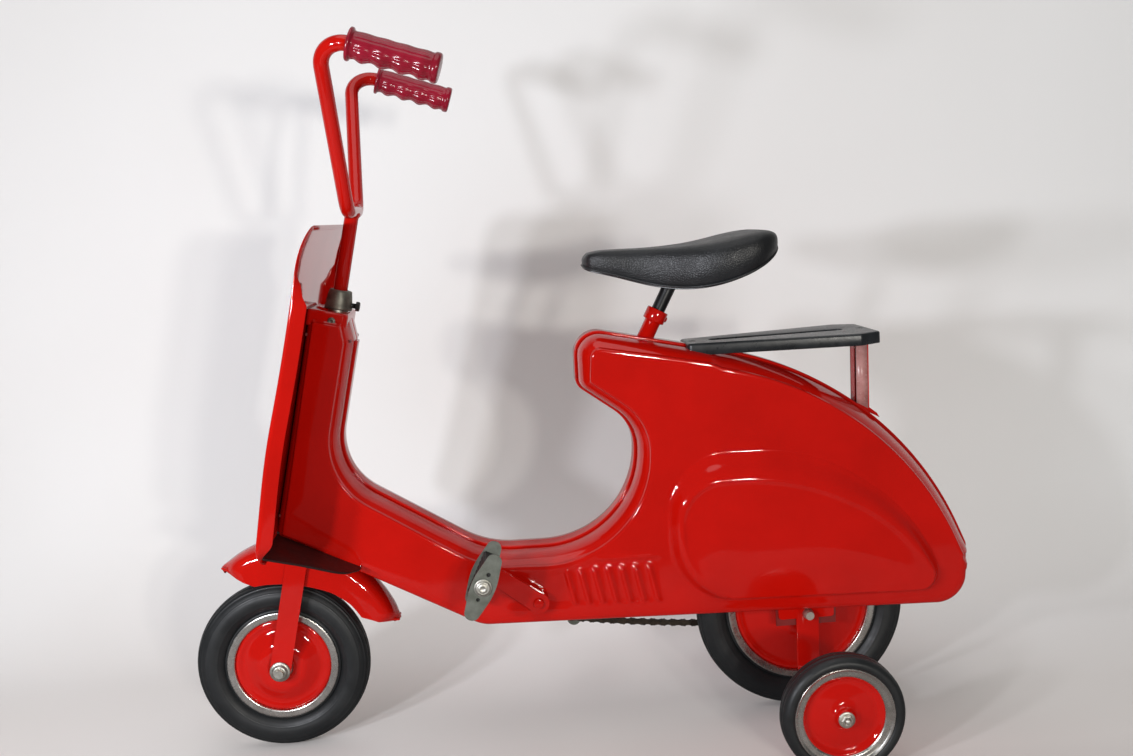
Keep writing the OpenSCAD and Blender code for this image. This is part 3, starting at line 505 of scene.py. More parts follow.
# x, z, radius, how far the shoulder rounds over, whether the edge is the open bottom, how round the crown is
SHOULDER_COLUMN, OPEN_COLUMN, CROWN_COLUMN = 3, 4, 5
BODY = [
    (*corner(158.5, -31, 10), 0.8, 0.12, 0.0),
    (104, 215.1, 60, 1.0, 1.0, 0.0),
    (238, 141.5, 45, 1.0, 1.0, 0.0),
    (818.3, 125.5, 38, 1.1, 1.0, 0.0),
    (819.9, 167, 3, 1.15, 1.0, 0.3),
    (833, 186, 14, 1.2, 0.0, 0.7),
    (741, 401, 400, 1.35, 0.0, 1.0),
    (520, 450.2, 400, 0.85, 0.0, 0.35),
    (364, 483.5, 28, 1.15, 0.0, 0.0),
    (364, 414, 18, 1.0, 0.0, 0.0),
    (429, 366, 55, 1.0, 0.0, 0.0),
    (429, 227, 110, 1.0, 0.0, 0.0),
    (252, 227, 110, 0.9, 0.0, 0.0),
    (*corner(244, 29, 72), 0.8, 0.0, 0.0),
    (*corner(398, 29, 12), 0.75, 0.0, 0.0),
    (*corner(425, 18, 6), 0.7, 0.0, 0.0),
    (*corner(425, -31, 6), 0.7, 0.0, 0.0),
]

# %% [markdown]
# A pressed shoulder is a family of lines, each a little further inside the outline. When every such ring
# has the same number of points, neighbouring rings join into clean faces. An inset tool would also draw
# them, but it changes the count of points at tight corners.

# %% Rings inside the outline
def unit(v):
    return v / np.linalg.norm(v)


def cross_of(a, b):
    return a[0] * b[1] - a[1] * b[0]


def arc_plan(corners, step):
    """How many points each corner and each straight run gets, from the outline itself."""
    n = len(corners)
    ends, arcs = [], []
    for i in range(n):
        a, b, c = (np.array(corners[(i + k) % n][:2], float) for k in (-1, 0, 1))
        d1, d2 = unit(b - a), unit(c - b)
        turn = math.atan2(cross_of(d1, d2), d1 @ d2)
        t = corners[i][2] * math.tan(abs(turn) / 2)
        arcs.append(max(3, int(abs(math.degrees(turn)) / 5), int(abs(turn) * corners[i][2] / step)))
        ends.append((b - d1 * t, b + d2 * t))
    runs = [max(1, int(np.linalg.norm(ends[(i + 1) % n][0] - ends[i][1]) / step)) for i in range(n)]
    return arcs, runs


def ring(corners, plan, inset):
    """The outline moved inwards, with weights blended from the corners' extra values."""
    arcs, runs = plan
    n = len(corners)
    parts = []
    for i in range(n):
        a, b, c = (np.array(corners[(i + k) % n][:2], float) for k in (-1, 0, 1))
        d1, d2 = unit(b - a), unit(c - b)
        turn = math.atan2(cross_of(d1, d2), d1 @ d2)
        side = math.copysign(1.0, turn)
        n1, n2 = np.array([-d1[1], d1[0]]), np.array([-d2[1], d2[0]])
        p, q = b + n1 * inset, b + n2 * inset
        v = p + d1 * cross_of(q - p, d2) / cross_of(d1, d2)
        r = max(corners[i][2] - side * inset, 2.0)
        t = r * math.tan(abs(turn) / 2)
        centre = v - d1 * t + n1 * side * r
        start = math.atan2(-side * n1[1], -side * n1[0])
        parts.append([centre + r * np.array([math.cos(start + turn * k / arcs[i]),
                                             math.sin(start + turn * k / arcs[i])])
                      for k in range(arcs[i] + 1)])
    points = []
    for i in range(n):
        points += parts[i]
        e, f = parts[i][-1], parts[(i + 1) % n][0]
        points += [e + (f - e) * k / (runs[i] + 1) for k in range(1, runs[i] + 1)]
    return np.array(points)


def ring_values(corners, plan, column):
    """One of the corners' extra values at every point of a ring."""
    arcs, runs = plan
    out = []
    n = len(corners)
    for i in range(n):
        a, b = corners[i][column], corners[(i + 1) % n][column]
        out += [a] * (arcs[i] + 1)
        out += [a + (b - a) * (0.5 - 0.5 * math.cos(math.pi * k / (runs[i] + 1)))
                for k in range(1, runs[i] + 1)]
    return np.array(out)

# %% [markdown]
# The pressings on the flat side are described by how far a point lies inside a line. A sculpted height map
# could hold them too, but a distance gives the same clean step all along a curved foot.

# %% Distance from a line
def distance_inside(points, loop):
    """Distance of each point from a closed loop, positive inside."""
    p = np.asarray(points)
    a = np.asarray(loop)
    b = np.roll(a, -1, axis=0)
    best = np.full(len(p), 1e9)
    odd = np.zeros(len(p), bool)
    for s, e in zip(a, b):
        d = e - s
        t = np.clip(((p - s) @ d) / max(d @ d, 1e-9), 0, 1)
        best = np.minimum(best, np.linalg.norm(p - (s + t[:, None] * d), axis=1))
        crosses = (s[1] > p[:, 1]) != (e[1] > p[:, 1])
        if d[1] != 0:
            odd ^= crosses & (p[:, 0] < d[0] * (p[:, 1] - s[1]) / d[1] + s[0])
    return np.where(odd, best, -best)


def soft_step(x):
    """A soft step from 0 to 1."""
    x = np.clip(x, 0, 1)
    return x * x * (3 - 2 * x)

# %% [markdown]
# The cowl over the rear wheel rises in a wide cove from a foot line to a crest line. The shoulder is drawn
# as sections, from the seam out to the flat side: pairs of half width and depth. A bevel would give one
# even radius, but the real shoulder is flat first and then tightens, and that is what its long highlight
# shows.

# %% The cowl's lines and the shoulder's sections
PLAN = arc_plan(BODY, 7.0)
COWL_FOOT = [(458.8, 155.8, 80), (793.2, 144.1, 26), (753.9, 245.7, 218), (632.9, 328.5, 209),
             (462.7, 332.5, 70)]
COWL_CREST = [(475, 155.2, 84), (780.2, 155.2, 16), (736.2, 238.9, 205), (607.6, 303.3, 280), (470, 303.5, 53)]
COWL_PLAN = arc_plan(COWL_FOOT, 6.0)
cowl_foot = ring(COWL_FOOT, COWL_PLAN, 0)
cowl_crest = ring(COWL_CREST, COWL_PLAN, 0)
print("outline:", len(ring(BODY, PLAN, 0)), "points, cowl:", len(cowl_foot), "points")

# The shoulder as half width and depth below the silhouette, from the seam out to the flat side
SHOULDER = [(0.4, 3), (6, 3), (12, 3.0), (17, 3.1), (22, 3.5), (27, 4.2), (31.5, 5.2), (35.5, 6.5), (39, 8.2),
            (41.8, 10.2), (43.6, 12.0), (44.6, 13.3), (45.2, 14.0), (46.2, 14.5), (47.8, 14.9), (49.0, 15.5),
            (49.7, 16.4), (49.95, 17.6), (50, 19.5), (50, 22)]
# The same rows over the rear wheel, where the crown falls away sooner
ROUND_SHOULDER = [(0.4, 3), (6, 3.05), (12, 3.35), (17, 4.3), (22, 5.7), (27, 7.4), (31.5, 9.1),
                  (35.5, 10.9), (39, 12.9), (41.8, 14.8), (43.6, 16.2), (44.6, 17.0), (45.2, 17.5),
                  (46.2, 17.9), (47.8, 18.3), (49.0, 18.9), (49.7, 19.8), (49.95, 21.0), (50, 22.8), (50, 25.5)]
# The same rows where the bottom is open: a lip turned in a little, then a round edge
OPEN_EDGE = [(39.2, 3.6), (39.4, 3.3), (39.7, 3.1), (40.2, 3.0), (41.0, 3.0), (41.9, 3.0), (42.8, 3.1),
             (43.8, 3.3), (44.8, 3.7), (45.8, 4.3), (46.8, 5.1), (47.6, 6.0), (48.3, 7.1), (48.9, 8.4),
             (49.3, 9.8), (49.6, 11.4), (49.8, 13.2), (49.9, 15.2), (50, 18), (50, 22)]

# %% [markdown]
# The die also presses seven upright ribs, a crease along the floor and the cowl. Each stiffens the thin
# sheet, and each is a bump or a step here. A bump map would be cheaper, but it can't change the outline of
# the light on a form that is 12 mm high.

# %% What stands out of the flat side
RIBS, FIRST_RIB_X, RIB_GAP = 7, 343.6, 16
RIB_X0, RIB_X1, RIB_Z0, RIB_Z1 = 324, 462, 142, 222


def side_relief(p):
    """How far the flat side stands out at each (x, z): the stepped cowl, the ribs and a shallow crease."""
    x, z = p[:, 0], p[:, 1]
    past_foot, past_crest = distance_inside(p, cowl_foot), distance_inside(p, cowl_crest)
    between = past_foot / np.maximum(past_foot - past_crest, 0.5)
    climb = np.where(past_crest > 0, 1.0, np.clip(between, 0, 1))
    h = 1.1 * soft_step((past_foot + 0.6) / 2.4) + 12.6 * soft_step(climb)
    h += 2.2 * soft_step((past_crest - 6) / 60)
    h += 1.2 * np.exp(-((past_crest - 3.0) / 3.4) ** 2) * soft_step((z - 175) / 70)
    for i in range(RIBS):
        lean = (z - 181) * 0.21
        across = x - (FIRST_RIB_X + RIB_GAP * i) + lean
        ends = soft_step((z - 146) / 8) * soft_step((208 - z) / 7)
        h += 4.0 * ends * np.where(across < 0, np.exp(-(across / 1.8) ** 2), np.exp(-(across / 5.0) ** 2))
    line = 214.5 + 2.5 * np.cos((x - 250) / 62)
    shallow = soft_step((x - 262) / 22) * soft_step((452 - x) / 16)
    h -= 1.3 * soft_step((line - z) / 3.0 + 0.5) * shallow * soft_step((z - 152) / 12)
    h += 1.2 * np.exp(-((z - line - 2.5) / 1.8) ** 2) * shallow
    return h

# %% [markdown]
# One half is the shoulder's rings plus a flat side whose points lie closer together where something is
# pressed into it. An even fine grid would do as well, but it would cost far more faces in the plain areas.
# Where the bottom is open the rings turn in to a lip instead.

# %% One half of the shell
GRID = 5.5


def body_half(name, side):
    """One pressed half, with side -1 for the left and 1 for the right."""
    scale = ring_values(BODY, PLAN, SHOULDER_COLUMN)
    opened = ring_values(BODY, PLAN, OPEN_COLUMN)
    crown = ring_values(BODY, PLAN, CROWN_COLUMN)[:, None]
    rows = []
    for (y, d), (_, dr), (yo, do) in zip(SHOULDER, ROUND_SHOULDER, OPEN_EDGE):
        low = ring(BODY, PLAN, d)
        high = ring(BODY, PLAN, 3 + (d - 3) * 1.5)
        edge = ring(BODY, PLAN, do)
        closed_xy = low + (high - low) * ((scale - 1.0) / 0.5)[:, None]
        closed_xy = closed_xy * (1 - crown) + ring(BODY, PLAN, dr) * crown
        xy = closed_xy * (1 - opened)[:, None] + edge * opened[:, None]
        yy = y * (1 - opened) + yo * opened
        rows.append(np.column_stack([xy[:, 0], yy, xy[:, 1]]))
    cols = len(rows[0])
    points = np.vstack(rows)
    faces = []
    for i in range(len(rows) - 1):
        for j in range(cols):
            k = (j + 1) % cols
            if opened[j] > 0.99 and opened[k] > 0.99 and i < 1:
                continue
            faces.append((i * cols + j, i * cols + k, (i + 1) * cols + k, (i + 1) * cols + j))
    border = rows[-1][:, [0, 2]]
    seeds = [border[i] for i in range(cols)]
    lo, hi = border.min(axis=0), border.max(axis=0)
    xs, zs = np.meshgrid(np.arange(lo[0], hi[0], GRID), np.arange(lo[1], hi[1], GRID))
    xs = xs + (np.arange(xs.shape[0]) % 2)[:, None] * GRID / 2
    grid = np.column_stack([xs.ravel(), zs.ravel()])
    near_cowl = (distance_inside(grid, cowl_foot) > -7) & (distance_inside(grid, cowl_crest) < 18)
    in_ribs = (grid[:, 0] > RIB_X0) & (grid[:, 0] < RIB_X1) & (grid[:, 1] > RIB_Z0) & (grid[:, 1] < RIB_Z1)
    extra = [grid[~near_cowl & ~in_ribs]]
    for inset in (-6, -3.5, -1.6, -0.6, 0.3, 1.2):
        extra.append(ring(COWL_FOOT, COWL_PLAN, inset))
    for share in np.linspace(0.1, 0.94, 11):
        blend = [tuple((1 - share) * u + share * v for u, v in zip(a, b))
                 for a, b in zip(COWL_FOOT, COWL_CREST)]
        extra.append(ring(blend, COWL_PLAN, 0))
    for inset in (0, 1.2, 2.4, 3.6, 4.8, 6, 7.5, 9.5, 12, 15):
        extra.append(ring(COWL_CREST, COWL_PLAN, inset))
    xs, zs = np.meshgrid(np.arange(RIB_X0, RIB_X1, 1.6), np.arange(RIB_Z0, RIB_Z1, 2.4))
    extra.append(np.column_stack([xs.ravel(), zs.ravel()]))
    inner = np.vstack(extra)
    inner = inner[distance_inside(inner, border) > 2.2]
    flat = [Vector(p) for p in seeds] + [Vector(p) for p in inner]
    edges = [(i, (i + 1) % cols) for i in range(cols)]
    verts, _, tris, _, _, _ = delaunay_2d_cdt(flat, edges, [], 1, 1e-4)
    flat_xy = np.array([[v[0], v[1]] for v in verts])
    fade = soft_step((distance_inside(flat_xy, border) + 0.1) / 5)
    height = FACE_Y + side_relief(flat_xy) * fade
    height[:cols] = rows[-1][:, 1][:cols]
    base = len(points)
    inner_points = np.column_stack([flat_xy[:, 0], height, flat_xy[:, 1]])
    all_points = np.vstack([points, inner_points])
    faces += [tuple(base + i for i in t) for t in tris]
    all_points[:, 1] *= side
    return mesh_object(name, [tuple(p) for p in all_points], faces, enamel, thick=SHEET)

# %% [markdown]
# The left half is the one in the photo, and the right one is its mirror. The faces must look outwards
# before the sheet's thickness is added, since it grows inwards from the side that was drawn.

# %% Both halves
left = body_half("body_left_pressing", -1)
right = body_half("body_right_pressing", 1)


def flip_if_inward(obj, side):
    """The largest flat face must look away from the middle."""
    big = max(obj.data.polygons, key=lambda p: p.area if abs(p.normal.y) > 0.9 else 0)
    if big.normal.y * side < 0:
        obj.data.flip_normals()


flip_if_inward(left, -1)
flip_if_inward(right, 1)
settle(left, "frame", "body_left")
settle(right, "frame", "body_right")

# %% [markdown]
# ## Seam strips, leg shield and fender
#
# A rolled strip covers the seam between the halves, and its thin edge shows as a line along the whole top.
# It could be part of the shell's shoulder, but as a piece of its own it casts the small shadow that the
# photo shows.

# %% The two seam strips
ARC_START = np.concatenate([[0], np.cumsum([a + 1 + r for a, r in zip(*PLAN)])])
# The strip's section: across the seam, and how far below the outline
BEAD = [(-12, 3.6), (-12, 1.5), (-11.6, 0.75), (-10.8, 0.25), (-9.4, 0.03), (-5, 0), (0, 0), (5, 0),
        (9.4, 0.03), (10.8, 0.25), (11.6, 0.75), (12, 1.5), (12, 3.6)]


def strip(name, first, last, node):
    """A strip along the outline from one point of the ring to another."""
    rings = [ring(BODY, PLAN, d)[first:last] for _, d in BEAD]
    points = []
    for j in range(last - first):
        for (y, _), r in zip(BEAD, rings):
            points.append((r[j][0], y, r[j][1]))
    faces = grid_faces(last - first, len(BEAD), wrap_cols=True)
    faces += [tuple(range(len(BEAD))), tuple(range(len(points) - len(BEAD), len(points)))]
    return settle(mesh_object(name, points, faces, enamel), "frame", node)


strip("top_seam_strip", ARC_START[5], ARC_START[9] + 1, "top_strip")
strip("floor_seam_strip", ARC_START[9], ARC_START[14] + 1, "floor_strip")

# %% [markdown]
# The leg shield is one sheet with a flange turned back along its sides. The flange is deep below and
# narrows near the top, the sheet bellies a little, and its foot rolls under. A flat plate would give one
# flat tone, but the belly makes the soft gradient that is seen in the photo.

# %% The leg shield
SHIELD_T = -29.6
SHIELD = [(-150, 158, 22), (150, 158, 22), (160, 300, 300), (160, 522, 34), (-160, 522, 34), (-160, 300, 300)]
SHIELD_PLAN = arc_plan(SHIELD, 4)
# How far in from the shield's outline, and how far before the steering axis
SHIELD_EDGE = [(6.4, -12.9), (5.7, -12.6), (5.4, -13.4), (3.4, -19), (1.6, -24), (1.0, -26), (1.2, -27.8),
               (2.3, -29.0), (4.0, -29.5), (6.5, SHIELD_T), (12, SHIELD_T)]


def shield_bow(y, s):
    """The sheet bellies forwards at its edges, curls back at its top and rolls under at its foot."""
    edge = soft_step((abs(y) - 52) / 60)
    return -3.2 * edge * math.exp(-((s - 275) / 75) ** 2) + 8.0 * max(0.0, (s - 470) / 52) ** 2 + foot_roll(s)


def foot_roll(s):
    """How far the foot has rolled under at height s."""
    low = min(max((184 - s) / 27, 0.0), 0.98)
    return 16.0 * (1 - math.sqrt(1 - low * low))


def flange_share(s):
    """Full depth up both sides, narrowing to a horn at s 464, then a thin rolled edge to the top."""
    return float(np.interp(s, [158, 184, 440, 448, 455, 463, 466, 480, 522],
                           [0.05, 1.0, 1.0, 0.68, 0.56, 0.40, 0.20, 0.17, 0.14]))


def leg_shield():
    rows = [ring(SHIELD, SHIELD_PLAN, d) for d, _ in SHIELD_EDGE]
    border = ring(SHIELD, SHIELD_PLAN, 0)
    points = []
    for r, (_, t) in zip(rows, SHIELD_EDGE):
        for (y, s), (_, edge_s) in zip(r, border):
            turn_back = (t - SHIELD_T) * flange_share(edge_s)
            points.append(steer_xyz(s, SHIELD_T + turn_back + shield_bow(y, s), y))
    cols = len(rows[0])
    faces = grid_faces(len(rows), cols, wrap_cols=True)
    border = rows[-1]
    ys, ss = np.meshgrid(np.arange(-150, 151, 12), np.arange(160, 521, 12))
    inner = np.column_stack([ys.ravel(), ss.ravel()])
    inner = inner[distance_inside(inner, border) > 5]
    flat = [Vector(p) for p in border] + [Vector(p) for p in inner]
    verts, _, tris, _, _, _ = delaunay_2d_cdt(flat, [(i, (i + 1) % cols) for i in range(cols)], [], 1, 1e-4)
    base = len(points)
    points += [steer_xyz(v[1], SHIELD_T + shield_bow(v[0], v[1]), v[0]) for v in verts]
    faces += [tuple(base + i for i in t) for t in tris]
    obj = mesh_object("leg_shield_pressing", points, faces, enamel, thick=SHEET)
    return settle(obj, "frame", "leg_shield")


leg_shield()

# %% [markdown]
# Two sloping plates close the corner between the shield and the body. Their red enamel is painted near black
# as the deep shade that they sit in. They are flat sheet with a low rolled edge. One plate across both sides
# would cut through the body, so there is one per side.

# %% The wings at the shield's foot
def wing(side, node):
    """A sloping plate beside the body, with side -1 for the left."""
    plan = [(9, 41), (106, 41), (107, 62), (93, 97), (50, 119), (17, 141), (9, 141)]
    corners = [(x, y, r) for (x, y), r in zip(plan, (2, 3, 18, 40, 60, 6, 3))]
    p = arc_plan(corners, 5)
    rows = []
    for inset, lift in ((0, 3.5), (0.3, 2.0), (1.2, 0.7), (2.6, 0.1), (5, 0)):
        rows.append([(x, y, 275.1 - 0.475 * x + lift) for x, y in ring(corners, p, inset)])
    cols = len(rows[0])
    points = [q for r in rows for q in r]
    faces = grid_faces(len(rows), cols, wrap_cols=True)
    faces.append(tuple(range(len(points) - cols, len(points))))
    points = [(x, y * side, z) for x, y, z in points]
    # The plates' red enamel is painted near black as shade
    return settle(mesh_object(f"shield_foot_{node}", points, faces, painted_shade_enamel, thick=SHEET), "frame", node)


wing(-1, "shield_floor_left")
wing(1, "shield_floor_right")

# %% [markdown]
# The fender is a deep pressed hood that follows the tyre and ends in two round tips. Its height changes
# along the arc, so it is drawn as one section for each angle from two tables, the edge of its skirt and the
# top of its crown. A slice of a torus would have the same depth everywhere.

# %% The front fender
# Degrees from level behind the wheel, and mm from the axle
SKIRT = [(17.6, 146), (20, 136), (22.5, 127), (29.5, 113), (40, 113), (54, 110), (62, 107), (72, 104.5),
         (88, 103.5), (102, 104.5), (107.4, 113), (112, 124), (115.5, 132), (117, 135)]
CROWN = [(17.6, 147.5), (90, 147.5), (100, 145), (106, 142), (112, 138.5), (117, 136)]


def along(table, x):
    """Reads a table of pairs between its rows."""
    return float(np.interp(x, [p[0] for p in table], [p[1] for p in table]))


def fender():
    points, cols = [], 0
    angles = np.concatenate([np.linspace(17.6, 24, 14), np.linspace(25.5, 106, 56), np.linspace(107, 117, 16)])
    for a in angles:
        top, low = along(CROWN, a), along(SKIRT, a)
        w = 26 * (1 - 0.75 * soft_step((a - 104) / 13) ** 2) * (1 - 0.6 * soft_step((26 - a) / 8.4) ** 2)
        half = [(1.0, low), (0.985, low + 1), (0.98, max(low + 2, top - 24)), (0.975, max(low + 2.5, top - 16)),
                (0.95, max(low + 3, top - 10.5)), (0.88, top - 7.0), (0.76, top - 4.2), (0.6, top - 2.2),
                (0.4, top - 0.9), (0.2, top - 0.2), (0.0, top)]
        half = [(k * w, min(r, top - (0.0 if k < 0.05 else 0.02))) for k, r in half]
        section = [(-y, r) for y, r in half] + [(y, r) for y, r in half[-2::-1]]
        cols = len(section)
        ca, sa = math.cos(math.radians(a)), math.sin(math.radians(a))
        points += [(r * ca, y, FRONT_R + r * sa) for y, r in section]
    return settle(mesh_object("front_fender", points, grid_faces(len(angles), cols), enamel, thick=SHEET),
                  "steering", "fender")


fender()

# %% [markdown]
# ## Steering: fork, stem, bars and grips
#
# The steering is a flat-bar fork, a steerer, a clamp collar and a bar that is welded to its stem. Two
# profiles come back all the time, a rectangle with round corners and a circle.

# %% Small profiles
def box_profile(x0, x1, z0, z1, r=1.0, n=3):
    """A rectangle whose corners have radius r."""
    pts = []
    for cx, cz, start in ((x1 - r, z1 - r, 0), (x0 + r, z1 - r, 90), (x0 + r, z0 + r, 180),
                          (x1 - r, z0 + r, 270)):
        for i in range(n + 1):
            a = math.radians(start + 90 * i / n)
            pts.append((cx + r * math.cos(a), cz + r * math.sin(a)))
    return pts


def round_profile(cx, cz, r, n=40):
    """A circle of n points."""
    return [(cx + r * math.cos(2 * math.pi * i / n), cz + r * math.sin(2 * math.pi * i / n)) for i in range(n)]

# %% [markdown]
# A toy like this is held by small hexagon bolts. Their six flats each catch the light differently, and
# their corners are chamfered when they are made. A turned profile with six steps gives the hexagon, and the
# chamfer is its last point.

# %% Bolts and nuts
def bolt(name, where, h0, h1, r, head_h, head_r, material=zinc):
    """A hexagon head with a chamfer on a shank from h0 to h1, along the frame's axis."""
    pieces = []
    if h0 != h1:
        shank = [(0.01, h0), (r, h0), (r, h1), (0.01, h1)]
        pieces.append(turned(name + "_shank", shank, where, material, steps=24, closed=False))
    up = 1 if head_h > 0 else -1
    top = h1 + head_h
    head = [(0.01, h1), (head_r, h1), (head_r, top - up * 0.9), (head_r * 0.86, top), (0.01, top)]
    pieces.append(turned(name + "_head", head, where, material, steps=6, closed=False, smooth=False,
                         bevel=0.35, angle=25))
    return pieces


def nut_on_stud(name, where, base, up, stud_r, nut_r, nut_h, washer_r):
    """A washer and a hexagon nut; up is 1 or -1."""
    face, top = base + up * 1.6, base + up * (1.6 + nut_h)
    washer = [(stud_r, base), (washer_r, base), (washer_r, base + up * 1.1), (washer_r - 0.5, face),
              (stud_r, face)]
    nut = [(stud_r, face), (nut_r, face), (nut_r, top - up * 0.9), (nut_r * 0.87, top), (stud_r, top)]
    return [turned(name + "_washer", washer, where, zinc, steps=48),
            turned(name + "_nut", nut, where, zinc, steps=6, smooth=False, bevel=0.35, angle=25)]

# %% [markdown]
# The fork is flat steel bar, two upright legs joined by a crown under the fender, painted red. Each leg
# ends in a round eye for the axle. A tube fork would be the grown-up way, but the photo shows the flat of
# the bar.

# %% The fork
EYE_R = 12.6
eye_angles = [math.pi + 0.28 + i * (math.pi - 0.56) / 20 for i in range(21)]
leg_profile = [(-12, 148)] + [(EYE_R * math.cos(a), EYE_R * math.sin(a)) for a in eye_angles] + [(12, 148)]
fork_pieces = [plate(f"fork_leg_{side}", leg_profile, side * 28, side * 32, enamel, bevel=1.0,
                     where=lambda t, y, s: steer_xyz(s, t, y)) for side in (-1, 1)]
fork_pieces.append(plate("fork_crown", box_profile(-32.5, 32.5, 147.8, 154, 2.4, 5), -12.5, 12.5, enamel,
                         bevel=0.8, where=lambda y, t, s: steer_xyz(s, t, y)))
settle(joined("fork_flat_bar", fork_pieces), "steering", "fork")

# %% [markdown]
# A pressed cap nut closes each end of the front axle. Its rings are what make it read as a nut cap from a
# metre away, so the profile has them all, down to half a millimetre.

# %% The front axle's ends
axle = axle_frame(0, FRONT_R)
CAP = [(0.01, 32), (11.7, 32), (12.0, 32.7), (11.7, 33.6), (10.4, 34.2), (9.2, 34.6), (8.6, 35.4), (7.9, 36.6),
       (6.9, 37.4), (5.9, 37.5), (5.2, 37.0), (4.7, 36.9), (4.3, 37.4), (3.6, 38.4), (2.4, 39.1), (1.2, 39.4),
       (0.01, 39.5)]
ends = [turned(f"front_end_{side}", [(r, side * h) for r, h in CAP], axle, zinc, steps=72, closed=False)
        for side in (-1, 1)]
settle(joined("front_axle_ends", ends), "steering", "front_axle_nuts")

# %% [markdown]
# A cast collar clamps the stem at its height. The casting swells at the rear where the bolt goes in. A wave
# on the radius gives that lump without a second piece.

# %% The stem's collar and its bolt
collar_profile = [(8.06, 427.7), (14.8, 427.7), (15.25, 428.2), (15.2, 431), (14.6, 432.2), (14.3, 438),
                  (13.6, 443), (12.9, 446.5), (12.6, 448.8), (11.9, 449.8), (10.5, 450.1), (8.06, 450.1)]


def boss_swell(angle, h):
    """The lump round the clamp bolt, 0.9 mm high at the rear."""
    from_rear = angle if angle < math.pi else angle - 2 * math.pi
    return 0.9 * math.exp(-(from_rear / 0.42) ** 2)


collar = [turned("collar_body", collar_profile, steer_frame, cast_grey, steps=72, wave=boss_swell)]
settle(joined("stem_collar_casting", collar), "steering", "stem_collar")


def radial_frame(s):
    """An axis that leaves the steering axis towards the rear at height s."""
    return lambda u, v, h: steer_xyz(s + u, h, v)


clamp = bolt("collar_bolt", radial_frame(434), 8.3, 19.8, 3.0, 4.6, 5.6, material=dark_steel)
settle(joined("collar_clamp_bolt", clamp), "steering", "collar_bolt")

# %% [markdown]
# The bar is one 16 mm tube with four bends, welded on top of the stem and painted with it. The bend radius
# is 25 mm, what a small tube bender gives. The weld is a low ring, drawn as the stem's last points.

# %% The handlebar and its stem
BAR_MID = steer_xyz(540, 0, 0)
BAR_CORNER = (BAR_MID[0], 46, BAR_MID[2])
BAR_TOP = (BAR_MID[0] - 5.5, 144, BAR_MID[2] + 172.2)
BAR_DOWN = Vector((120, 5, -39)).normalized()
BAR_END = tuple(Vector(BAR_TOP) + BAR_DOWN * 123)


def flip_y(p):
    """The same point on the other side."""
    return (p[0], -p[1], p[2])


bar_corners = [flip_y(BAR_END), flip_y(BAR_TOP), flip_y(BAR_CORNER), BAR_CORNER, BAR_TOP, BAR_END]
bar_line = bent_path(bar_corners, 25, 5)
bars = [sweep("bar_tube", bar_line, round_profile(0, 0, 8, 32), enamel, up=(0, 0, 1))]
stem = [(6.4, 340), (8, 340), (8, 533), (8.5, 534.2), (9.6, 536), (9.9, 538), (8.0, 540.5), (0.01, 541)]
bars.append(turned("stem_tube", stem, steer_frame, enamel, steps=48, closed=False))
settle(joined("handlebar_and_stem", bars), "bars", "handlebar")

# %% [markdown]
# The grips are soft moulded plastic, pushed on the bar's ends. A flange stops the hand, four swells below
# fit the fingers, and fine flutes run along them. The flutes are real shape rather than a bump, since they
# show as a comb of light along the grip's outline.

# %% The grips
UP = Vector((0, 0, 1))


def grip(side, node):
    """A grip along the bar's end, with side -1 for the left."""
    start = Vector(BAR_TOP) + BAR_DOWN * 32.8
    start.y *= side
    direction = Vector((BAR_DOWN.x, BAR_DOWN.y * side, BAR_DOWN.z))
    v = (UP - direction * UP.dot(direction)).normalized()
    u = v.cross(direction)

    def where(p, q, h):
        return tuple(start + u * p + v * q + direction * h)

    length = 93.6
    profile = [(8.1, 0), (16.4, 0), (17, 0.7), (17, 2.6), (16.3, 3.4), (14.6, 4.2), (14.0, 6)]
    profile += [(14.0, h) for h in np.linspace(7.5, length - 9, 66)]
    profile += [(r, length - back) for r, back in
                ((14.4, 7.5), (15.3, 6.5), (15.6, 5), (15.6, 3), (15.2, 1.4), (14.0, 0.4), (11, 0), (5, 0),
                 (0.01, 0))]

    def wave(a, h):
        if h < 5 or h > length - 8:
            return 0
        under = max(0.0, -math.sin(a))
        fade = soft_step((h - 5) / 5) * soft_step((length - 8 - h) / 5)
        finger = -math.cos(2 * math.pi * (h - 6) / 20.2)
        flute = 0.28 * max(-0.4, math.cos(a * 22))
        return float(fade) * (finger * 1.25 * under ** 0.6 + flute + 0.25 * finger)

    obj = turned(f"moulded_{node}", profile, where, grip_plastic, steps=176, closed=False, wave=wave)
    return settle(obj, "bars", node)


grip(-1, "grip_left")
grip(1, "grip_right")

# %% [markdown]
# ## Wheels
#
# A wheel is a rubber tyre on a plated rim, carried by two pressed red discs with a hub between them. All
# are round, so each is one turned section. The tyre's grooves and the rings moulded on its walls are in the
# section: they are 0.3 to 1 mm deep and run right round, where a bump map would look flat at the outline.

